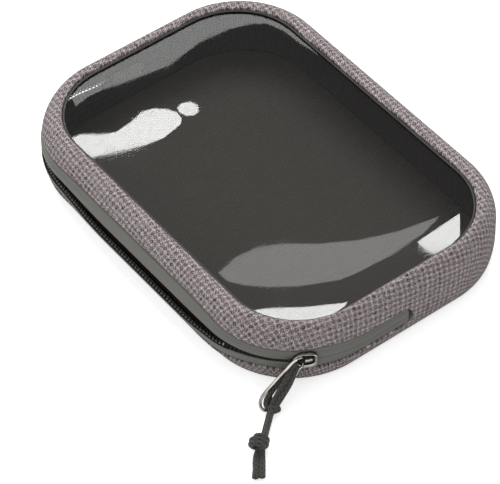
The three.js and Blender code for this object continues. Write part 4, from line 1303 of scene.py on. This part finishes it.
@dataclass
class Slider:
    """Cast slider: a cupped front plate, an inner plate, a post and an arch that holds the wire."""

    form: Form
    height: float = 15.0
    length: float = 9.6
    half_wide: float = 3.7
    half_end: float = 3.15
    half_nose: float = 1.1
    plate: float = 1.2
    back: float = -0.05
    web: float = 0.45
    rim: float = 0.55
    inner_gap: float = 0.9
    arch_wide: float = 1.6
    arch_length: float = 5.6
    arch_rise: float = 2.0
    arch_wall: float = 0.9
    arch_offset: float = 0.9
    hole_length: float = 2.6
    hole_height: float = 2.1

    def frame(self) -> tuple[Array, Array]:
        """Axes of the slider as rows (towards the closed end, up, outwards) and its origin on the skin."""
        form, course = self.form, self.form.course
        turn = np.radians(course.slider_angle)
        outward = np.array([np.cos(turn), np.sin(turn), 0])
        closing = np.array([-np.sin(turn), np.cos(turn), 0])
        middle = np.array([form.body.length / 2 - form.body.radius, form.body.radius - form.body.width / 2, 0])
        origin = middle + outward * form.body.radius + np.array([*form.seat, self.height])
        return np.stack([closing, UP, outward]), origin

    def pivot(self) -> Array:
        """Where the wire turns, in the middle of the arch's hole."""
        axes, origin = self.frame()
        return origin + np.array([-self.arch_offset, 0, self.hole_height / 2 + 0.5]) @ axes

    def outline(self, shrink: Array, count: int = 96) -> Array:
        """The plate's outline drawn in by shrink: square at the closed end, bulging, round at the nose.

        It is a superellipse whose power is high at the square end and low at the nose, with a
        half width that changes along it.
        """
        turn = np.linspace(0, CIRCLE, count, endpoint=False)[None]
        c, s = np.cos(turn), np.sin(turn)
        power = np.where(c > 0, 5.5, 2.3)
        ray = (np.abs(c) ** power + np.abs(s) ** power) ** (-1 / power)
        x = ray * c
        half = self.length / 2 - shrink
        square = self.half_wide + (self.half_end - self.half_wide) * x * x
        taper = np.sqrt(np.maximum(0, 1 - np.abs(x) ** 2.4))
        nose = self.half_nose + (self.half_wide - self.half_nose) * taper
        wide = np.where(x > 0, square, nose) - shrink
        return np.stack([half * x, np.maximum(wide, 0.05) * ray * s], axis=-1)

    def plate_rings(self, rows: Array, tail: list[float]) -> Array:
        """Rings of a plate, then scaled in to a pole.

        Args:
            rows: Shrink, depth and lift of each ring.
            tail: Scales of the rings after the last one.

        Returns:
            Grid of points in the slider's own frame.
        """
        shrink, z, lift = np.asarray(rows, float).T
        x, y = np.moveaxis(self.outline(shrink[:, None]), -1, 0)
        points = together(x, y + lift[:, None], z[:, None])
        middle = points[-1:].mean(axis=1, keepdims=True)
        return np.concatenate([points, middle + (points[-1:] - middle) * np.array(tail)[:, None, None]])

    def place(self, points: Array) -> Array:
        """Carries points from the slider's own frame to the model's."""
        axes, origin = self.frame()
        return points @ axes + origin

    def build(self, material: Material) -> list[Object]:
        """Builds the plates, the post and the arch."""
        back, floor = self.back, self.back + self.web
        top = back + self.plate + self.rim
        draft = Draft()
        skirt = [(1.2, back, 0), (0.25, back, 0), (0.06, back + 0.06, 0), (0.0, back + 0.25, 0), (0.0, top - 0.28, 0)]
        rim = [(0.05, top - 0.1, 0), (0.16, top - 0.02, 0), (0.32, top, 0)]
        well = [(1.02, top - 0.03, 0.74), (1.14, top - 0.12, 0.82), (1.2, top - 0.32, 0.84),
                (1.26, floor + 0.25, 0.84), (1.36, floor + 0.06, 0.84), (1.56, floor, 0.84)]
        rings = self.plate_rings([*skirt, *rim, *well], [0.8, 0.55, 0.3, 0.1])
        # The well's rings get place 1, which the nickel turns into painted shade.
        in_well = (np.arange(len(rings)) > len(skirt) + len(rim))[:, None]
        draft.tube(self.place(rings), together(np.zeros(rings.shape[1] + 1), in_well))
        inner = -(self.form.wall + 2 * self.form.gap + self.form.tape + 1.2) - self.inner_gap
        plate = [(1.2, 0), (0.3, 0), (0.0, 0.25), (0.0, 0.95), (0.3, 1.2), (1.2, 1.2)]
        draft.tube(self.place(self.plate_rings([(shrink, inner - fall, 0) for shrink, fall in plate], [0.6, 0.2])))
        turn = np.linspace(0, CIRCLE, 20, endpoint=False)
        nose = -self.length / 2 + 0.3 + 0.8
        level = np.linspace(inner - 0.3, back + 0.3, 5)[:, None]
        draft.tube(self.place(together(nose + 0.8 * np.cos(turn), 0.6 * np.sin(turn), level)))
        body = draft.piece("slider_shell", material, Body.SLIDER, "nickel", "slider_body")
        return [body, self.arch(material, floor)]

    def arch(self, material: Material, floor: float) -> Object:
        """Builds the arch: a rounded bar carried over the hole from foot to foot."""
        hole = self.hole_height
        rear = -self.arch_offset - self.hole_length / 2 - self.arch_wall / 2
        fore = rear + self.arch_length
        crown = 0.25 + hole + self.arch_wall / 2
        foot = floor - 0.3
        route = np.array([[rear - 0.1, foot], [rear, 1.2], [rear + 0.35, crown - 0.4], [rear + 1.1, crown],
                          [fore - 1.6, crown], [fore, crown - 0.45], [fore + 0.5, 1.1], [fore + 0.8, foot]])
        line = spline(together(route[:, 0], self.arch_rise, route[:, 1]), 44)
        turn = np.linspace(0, CIRCLE, 20, endpoint=False)[:, None]
        ray = (np.abs(np.cos(turn)) ** 3.5 + np.abs(np.sin(turn)) ** 3.5) ** (-1 / 3.5)
        side = np.array([0, 1.0, 0])
        out = np.cross(unit(np.gradient(line, axis=0)), side)
        thick, wide = self.arch_wall / 2 * ray * np.cos(turn), self.arch_wide / 2 * ray * np.sin(turn)
        rings = line[:, None] + thick * out[:, None] + wide * side
        draft = Draft()
        # Painted shade: the arch's ends get place 1 and go dark like the well, so only a short middle stays bright.
        painted_shade_ends = 1 - smoothstep((0.16 - np.abs(np.linspace(0, 1, len(line)) - 0.60)) / 0.08)
        place = np.broadcast_to(painted_shade_ends[:, None, None], (len(line), 21, 2))
        draft.tube(self.place(rings), place)
        return draft.piece("slider_arch", material, Body.SLIDER, "nickel")


@dataclass(frozen=True)
class Knot:
    """A knot's wraps: a cord wound round the strands.

    Attributes:
        name: Name of the piece.
        node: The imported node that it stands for.
        place: Its middle in plan, about the body's middle.
        axis: Way of its axis in plan.
        size: Half its length, and its height over the ground.
        turns: Number of turns.
        radius: Radius of the turns' centre line.
        girth: Half the thickness of what is wound.
    """

    name: str
    node: str
    place: tuple[float, float]
    axis: tuple[float, float]
    size: float
    turns: float
    radius: float
    girth: float


@dataclass
class Pull:
    """Wire loop through the arch, and the doubled cord tied to it."""

    slider: Slider
    heading: float = -97.7
    hook_half: float = 2.1
    hook_swell: float = 1.0
    wire: float = 1.2
    cord: float = 2.0
    tail_swell: float = 0.28
    tail_start: float = 36.0
    tail_run: float = 6.0
    clear: float = 0.03
    sides: int = 14
    knots: tuple[Knot, ...] = (
        Knot("knot_small", "knot_upper", (83.2, -59.4), (0.5, -0.8), size=2.1, turns=1.5, radius=1.25, girth=0.95),
        Knot("knot_large", "knot_lower", (93.0, -73.9), (0.6, -0.6), size=3.7, turns=2.6, radius=2.60, girth=1.12))

    loop: tuple[Triple, ...] = (
        (79.7, -48.1, 16.2), (79.2, -50.7, 13.8), (78.6, -53.3, 11.4), (78.1, -56.3, 8.6), (77.7, -59.1, 6.2),
        (77.9, -61.2, 4.6), (78.7, -62.5, 3.3), (80.1, -63.0, 2.3), (81.1, -62.2, 1.5), (81.0, -60.6, 1.0),
        (80.4, -58.6, 1.1), (80.0, -56.2, 2.4), (79.8, -53.1, 4.6), (79.9, -50.0, 7.2), (80.3, -47.3, 9.6))
    left: tuple[Triple, ...] = (
        (78.9, -47.4, 14.0), (79.8, -49.3, 13.0), (81.0, -52.6, 10.8), (81.3, -55.8, 7.4), (81.8, -58.5, 4.8),
        (82.5, -60.2, 3.2), (83.2, -61.9, 1.5), (85.3, -64.4, 1.2), (88.2, -67.6, 1.6), (91.4, -71.0, 2.6),
        (94.2, -74.5, 3.2), (95.8, -76.9, 1.9), (97.6, -78.7, 1.1), (100.4, -80.8, 1.0), (103.1, -83.2, 1.0))
    right: tuple[Triple, ...] = (
        (80.0, -46.8, 13.2), (80.9, -48.5, 12.0), (82.3, -51.7, 9.6), (82.9, -55.2, 6.6), (83.2, -58.0, 4.2),
        (83.6, -60.1, 3.2), (85.0, -62.5, 2.9), (87.0, -64.9, 2.7), (89.7, -67.9, 3.0), (93.1, -71.3, 4.4),
        (95.4, -73.9, 4.2), (96.9, -75.5, 2.2), (98.9, -77.1, 1.2), (101.7, -79.2, 1.0), (104.3, -81.2, 1.0))
    hitch: tuple[Triple, ...] = (
        (79.5, -46.7, 15.0), (79.3, -49.5, 12.8), (78.9, -52.5, 10.0), (78.6, -55.3, 7.2), (78.7, -57.9, 5.2),
        (79.1, -59.9, 3.8), (80.3, -61.0, 2.7), (81.7, -60.9, 2.2))
    under: tuple[Triple, ...] = (
        (78.9, -47.5, 13.0), (78.7, -50.7, 11.0), (78.5, -53.7, 8.6), (78.2, -56.1, 6.2), (78.2, -57.7, 4.2),
        (78.8, -58.3, 2.8), (80.2, -58.9, 1.9))

    def wire_line(self) -> Array:
        """The loop's centre line: up through the arch, out along one leg, round its end and back along the other."""
        pivot = self.slider.pivot()
        turn = np.radians(self.heading)
        ahead = np.array([np.cos(turn), np.sin(turn), 0])
        legs = np.array(self.loop) + self.slider.form.point(0)
        half, out = self.hook_half * UP, pivot + ahead * self.hook_swell
        hook = [pivot - half, pivot + half, out + half + 0.5 * UP]
        return spline(np.vstack([*hook, legs, out - half - 0.7 * UP]), 320, closed=True)

    def build_wire(self, material: Material) -> Object:
        """Builds the wire as a round tube along its line."""
        turn = np.radians(self.heading)
        side = np.array([-np.sin(turn), np.cos(turn), 0])
        draft = Draft()
        draft.tube(sweep(self.wire_line(), self.wire / 2, 16, side, closed=True), looped=True)
        return draft.piece("wire_loop", material, Body.PULL, "nickel", "pull_wire")

    def strand(self, name: str, points: tuple[Triple, ...], material: Material, *nodes: str) -> tuple[Object, Array]:
        """Builds one strand as a round tube with cut ends.

        Args:
            name: Name of the piece.
            points: Its route, about the body's middle.
            material: Its material.
            nodes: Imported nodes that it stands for.

        Returns:
            The object and the strand's centre line.
        """
        line = spline(np.array(points) + self.slider.form.point(0), 150)
        path, radius = rounded(line, self.cord / 2, 5, flat=0.35)
        radius = radius * (1 + self.tail_swell * smoothstep((run_of(path) - self.tail_start) / self.tail_run))
        path[:, 2] = np.maximum(path[:, 2], radius + self.clear)
        draft = Draft()
        draft.tube(sweep(path, radius, self.sides, np.array([0.02, 0.03, 1.0])), places_on(path, self.sides))
        return draft.piece(name, material, Body.PULL, "cord", *nodes), line

    def build_cord(self, material: Material) -> None:
        knots = [self.build_knot(knot, material) for knot in self.knots]
        hitch, _ = self.strand("strand_hitch", self.hitch, material)
        under, _ = self.strand("strand_under", self.under, material)
        sets = {"strand_left": (self.left, ("cord_bight", "cord_middle_left", "cord_tail_left"), [hitch, under]),
                "strand_right": (self.right, ("cord_middle_right", "cord_tail_right"), knots)}
        for name, (points, nodes, on_it) in sets.items():
            made, line = self.strand(name, points, material, *nodes)

    def build_knot(self, knot: Knot, material: Material) -> Object:
        """Builds a knot's wraps, the ends tucked in and crossed by one turn.

        The centre line is a helix about the knot's axis; its radius falls to less than half at both ends.
        """
        middle = self.slider.form.point(knot.size + 0.1) + np.array([*knot.place, 0])
        ahead = unit(np.array([*knot.axis, 0.0]))
        right = unit(np.cross(ahead, UP))
        axes = np.stack([ahead, right, np.cross(right, ahead)])
        share = np.linspace(0, 1, int(60 * knot.turns))
        turn = CIRCLE * knot.turns * share
        tuck = 0.42 + 0.58 * smoothstep(share / 0.12) * smoothstep((1 - share) / 0.12)
        reach = knot.radius * tuck
        run = (share - 0.5) * 2 * (knot.size - knot.girth) * 0.86
        lean = 0.28 * knot.radius * np.sin(turn)
        line = middle + together(run + lean, reach * np.cos(turn), reach * np.sin(turn)) @ axes
        path, thick = rounded(line, knot.girth, 4)
        draft = Draft()
        draft.tube(sweep(path, thick, self.sides, ahead + 0.01), places_on(path, self.sides))
        return draft.piece(knot.name, material, Body.PULL, "cord", knot.node)


@dataclass(frozen=True)
class Card:
    """A studio card that the film mirrors.

    Attributes:
        name: Its name.
        outline: The reflection's outline on the film, in the model's plan, in millimetres.
        glow: Its brightness.
    """

    name: str
    outline: tuple[tuple[float, float], ...]
    glow: float


@dataclass
class Studio:
    """Camera, soft lights, cards over the film, white floor and white surroundings."""

    form: Form
    window: Window
    eye: Triple = (596.11, -426.07, 760.14)
    eye_right: Triple = (0.6021, 0.7978, -0.0318)
    eye_back: Triple = (0.5605, -0.3940, 0.7284)
    focal_length: float = 199.3
    card_height: float = 60.0
    cards: tuple[Card, ...] = (
        Card("card_corner", ((60.2, -47.2), (63.4, -42.1), (69.4, -34.1), (74.3, -25.8), (77.4, -20.2), (78.2, -22.6),
             (78.6, -26.9), (78.4, -30.3), (78.4, -33.4), (82, -40), (80, -54), (70, -62), (56, -60)), 8.4),
        Card("card_side", ((70.2, 17.5), (68.8, 39.0), (77.3, 31.8), (79.7, 23.7), (78.9, 18.8), (75.7, 17.2)), 8.6),
        Card("card_strip", ((-52.7, -46.2), (-47, -39.1), (-45, -34.9), (-45.6, -28), (-47.6, -20.9), (-46.3, -16.7),
             (-43, -12.9), (-38.8, -10.9), (-34.9, -11.5), (-32.8, -13.8), (-30.9, -22.6), (-32.0, -29.5),
             (-34.3, -36.9), (-39.7, -49.6), (-42, -56), (-54, -55)), 8.8),
        Card("card_dot", ((-41.9, -6.6), (-40.5, -3.4), (-37.4, -2.3), (-34.6, -3.6), (-33.5, -6.4), (-35.2, -9.2),
             (-38.4, -10.0), (-41.0, -9.2)), 8.6),
        Card("card_lens", ((37.3, -47.9), (35.1, -38.2), (36.4, -28.7), (40.4, -21.3), (49, -10.5), (56.5, 2),
             (62.1, 16.2), (65.4, 32.3), (68.3, 22), (69.4, 6), (68.6, -8), (67.4, -15.8), (60.8, -28.8),
             (54.4, -37.5), (48.1, -43.9), (42.7, -47.5)), 1.85),
    )

    def camera(self) -> None:
        """Places the camera where the photograph was taken from, by its three axes."""
        lens = bpy.data.cameras.new("camera")
        lens.lens, lens.sensor_width, lens.sensor_fit = self.focal_length, 36.0, "HORIZONTAL"
        lens.clip_start, lens.clip_end = 0.05, 20.0
        eye = np.array(self.eye) * MM
        right, back = unit(np.array(self.eye_right)), np.array(self.eye_back)
        back = unit(back - right * (back @ right))
        bpy.context.scene.camera = link("camera", lens, facing(right, back, eye))

    def lamp(self, name: str, azimuth: float, elevation: float, distance: float, size: tuple[float, float],
             power: float) -> None:
        """Adds a soft rectangular lamp that faces the pouch and that gloss doesn't show.

        Args:
            name: Its name.
            azimuth: Degrees round from +X towards +Y.
            elevation: Degrees above the floor.
            distance: Metres from the pouch.
            size: Its width and height in metres.
            power: Its power in watts.
        """
        light = bpy.data.lights.new(name, "AREA")
        light.shape, light.size, light.size_y, light.energy = "RECTANGLE", *size, power
        a, e = np.radians(azimuth), np.radians(elevation)
        back = np.array([np.cos(a) * np.cos(e), np.sin(a) * np.cos(e), np.sin(e)])
        made = link(name, light, facing(unit(np.cross(UP, back)), back, back * distance))
        made.visible_glossy = made.visible_camera = False

    def sheet(self, name: str, points: list, material: Material) -> Object:
        """Adds one flat face outside the part."""
        mesh = bpy.data.meshes.new(name)
        mesh.from_pydata(points, [], [list(range(len(points)))])
        mesh.materials.append(material)
        made = link(name, mesh)
        return made

    def floor(self) -> None:
        """Adds the floor: matt white that keeps the shadow, a little lifted for the camera."""
        n = Nodes("studio_floor")
        seen = n.node("ShaderNodeLightPath").outputs["Is Camera Ray"]
        matt = n.node("ShaderNodeBsdfDiffuse", {"Color": (0.80, 0.80, 0.80)})
        lift = n.node("ShaderNodeEmission", {"Color": (1.0, 1.0, 1.0), "Strength": n.times(seen, 0.62)})
        both = n.node("ShaderNodeAddShader", {0: matt.outputs[0], 1: lift.outputs[0]})
        half, low = 8, -0.0001
        points = [(-half, -half, low), (half, -half, low), (half, half, low), (-half, half, low)]
        self.sheet("floor", points, n.end(both))

    def world(self) -> None:
        """Sets the surroundings: white to the camera, soft grey fill, brighter near the horizon to gloss."""
        n = Nodes("studio", world=True)
        ray = n.node("ShaderNodeLightPath").outputs
        way = n.node("ShaderNodeTexCoord").outputs["Generated"]
        rise = n.node("ShaderNodeSeparateXYZ", {0: way}).outputs[2]
        ramp = {"Value": rise, "From Min": 0.42, "From Max": 0.62, "To Min": 1.3, "To Max": 0.18}
        level = n.node("ShaderNodeMapRange", ramp).outputs[0]
        fill = n.node("ShaderNodeMix", {0: ray["Is Glossy Ray"], 2: 0.58, 3: level}).outputs[0]
        final = n.node("ShaderNodeMix", {0: ray["Is Camera Ray"], 2: fill, 3: 1.0}).outputs[0]
        shade = n.node("ShaderNodeBackground", {"Color": (1.0, 1.0, 1.0), "Strength": final})
        bpy.context.scene.world = n.end(shade)

    def far_band(self) -> Card:
        """Card whose reflection lies along the far end: between a wavy line and the window's edge."""
        inner = ((-66.2, -38.7), (-67.6, -32.6), (-67.2, -24.9), (-65, -15.2), (-62.1, 2.7), (-65.3, 19.5),
                 (-64.2, 32.8), (-61.4, 41), (-57.9, 46.2), (-50.4, 48.9), (-41, 49.5), (-24.5, 51.9))
        station = np.linspace(6.30, 3.72, 26)
        edge, _ = self.form.pane.at(station, np.full(26, 2.5))
        return Card("card_far", inner + tuple(map(tuple, edge + np.array(self.form.seat))), 2.1)

    def hang(self, card: Card) -> None:
        """Hangs a card over the film so that the camera sees it mirrored inside its outline.

        From the eye each outline point's ray is mirrored at the film's own slope there, and
        followed up to the card's height.
        """
        corner = np.array(card.outline)
        ahead = np.roll(corner, -1, axis=0)
        step = np.linspace(0, 1, 5, endpoint=False)[None, :, None]
        plan = (corner[:, None] + (ahead - corner)[:, None] * step).reshape(-1, 2)
        base = self.form.film_top + self.window.height(plan)
        point = np.concatenate([plan, base[:, None]], axis=1)
        normal = self.window.normal(plan)
        view = unit(np.array(self.eye) - point)
        mirrored = 2 * (normal * view).sum(axis=1, keepdims=True) * normal - view
        lift = (self.form.film_top + self.card_height - base) / mirrored[:, 2]
        hung = (point + mirrored * lift[:, None]) * MM
        n = Nodes(card.name)
        glow = n.node("ShaderNodeEmission", {"Color": (1.0, 1.0, 1.0), "Strength": card.glow})
        made = self.sheet(card.name, hung.tolist(), n.end(glow))
        made.visible_camera = made.visible_diffuse = made.visible_transmission = made.visible_shadow = False

    def build(self) -> None:
        """Builds the camera, the floor, the surroundings, the lamps and the cards."""
        self.camera()
        self.floor()
        self.world()
        self.lamp("key", 152, 64, 1.3, (0.9, 0.7), 13.8)
        self.lamp("front_fill", -60, 35, 1.6, (1.2, 0.8), 4.5)
        for card in (*self.cards, self.far_band()):
            self.hang(card)


def corners(box: tuple) -> list[list[float]]:
    """A box's two corners as plain lists."""
    return [list(map(float, corner)) for corner in box]


def main() -> None:
    """Loads the frame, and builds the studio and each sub-assembly."""
    logging.basicConfig(level=logging.INFO, format="%(message)s")
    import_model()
    bpy.context.scene.view_settings.view_transform = "Standard"

    body = RoundedOutline(170.2, 122.0, 36.2)
    pane = RoundedOutline(157.6, 103.8, 28.7, (1.4, -0.6))
    course = ZipCourse(body)
    _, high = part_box("shell")
    seat = (high[0] / MM - body.length / 2, high[1] / MM - body.width / 2)
    form = Form(body, pane, course, seat)
    window = Window(form)
    Studio(form, window).build()

    slider = Slider(form)
    pull = Pull(slider)
    pull.build_cord(BraidedCord().material())
    nickel = Nickel().material()
    pull.build_wire(nickel)
    slider.build(nickel)

    cover = Cover(form)
    cover.build(WovenCover().material())
    lining = Lining(form)
    lining.wall(cover.distances(), RibbedLining("lining_ribbed").material())
    lining.floor(RibbedLining("lining_floor_ribbed", (0.035, 0.031, 0.029), (0.075, 0.067, 0.063)).material())
    window.build(ClearFilm().material())
    window.weld(WeldLine().material())

    zip_ = Zip(form)
    tape, coil = CoatedTape().material(), BlackCoil().material()
    for side in Side:
        zip_.tape(side, tape)
        zip_.coil(side, coil)
    for end in End:
        zip_.garage(end, tape)


if __name__ == "__main__":
    main()
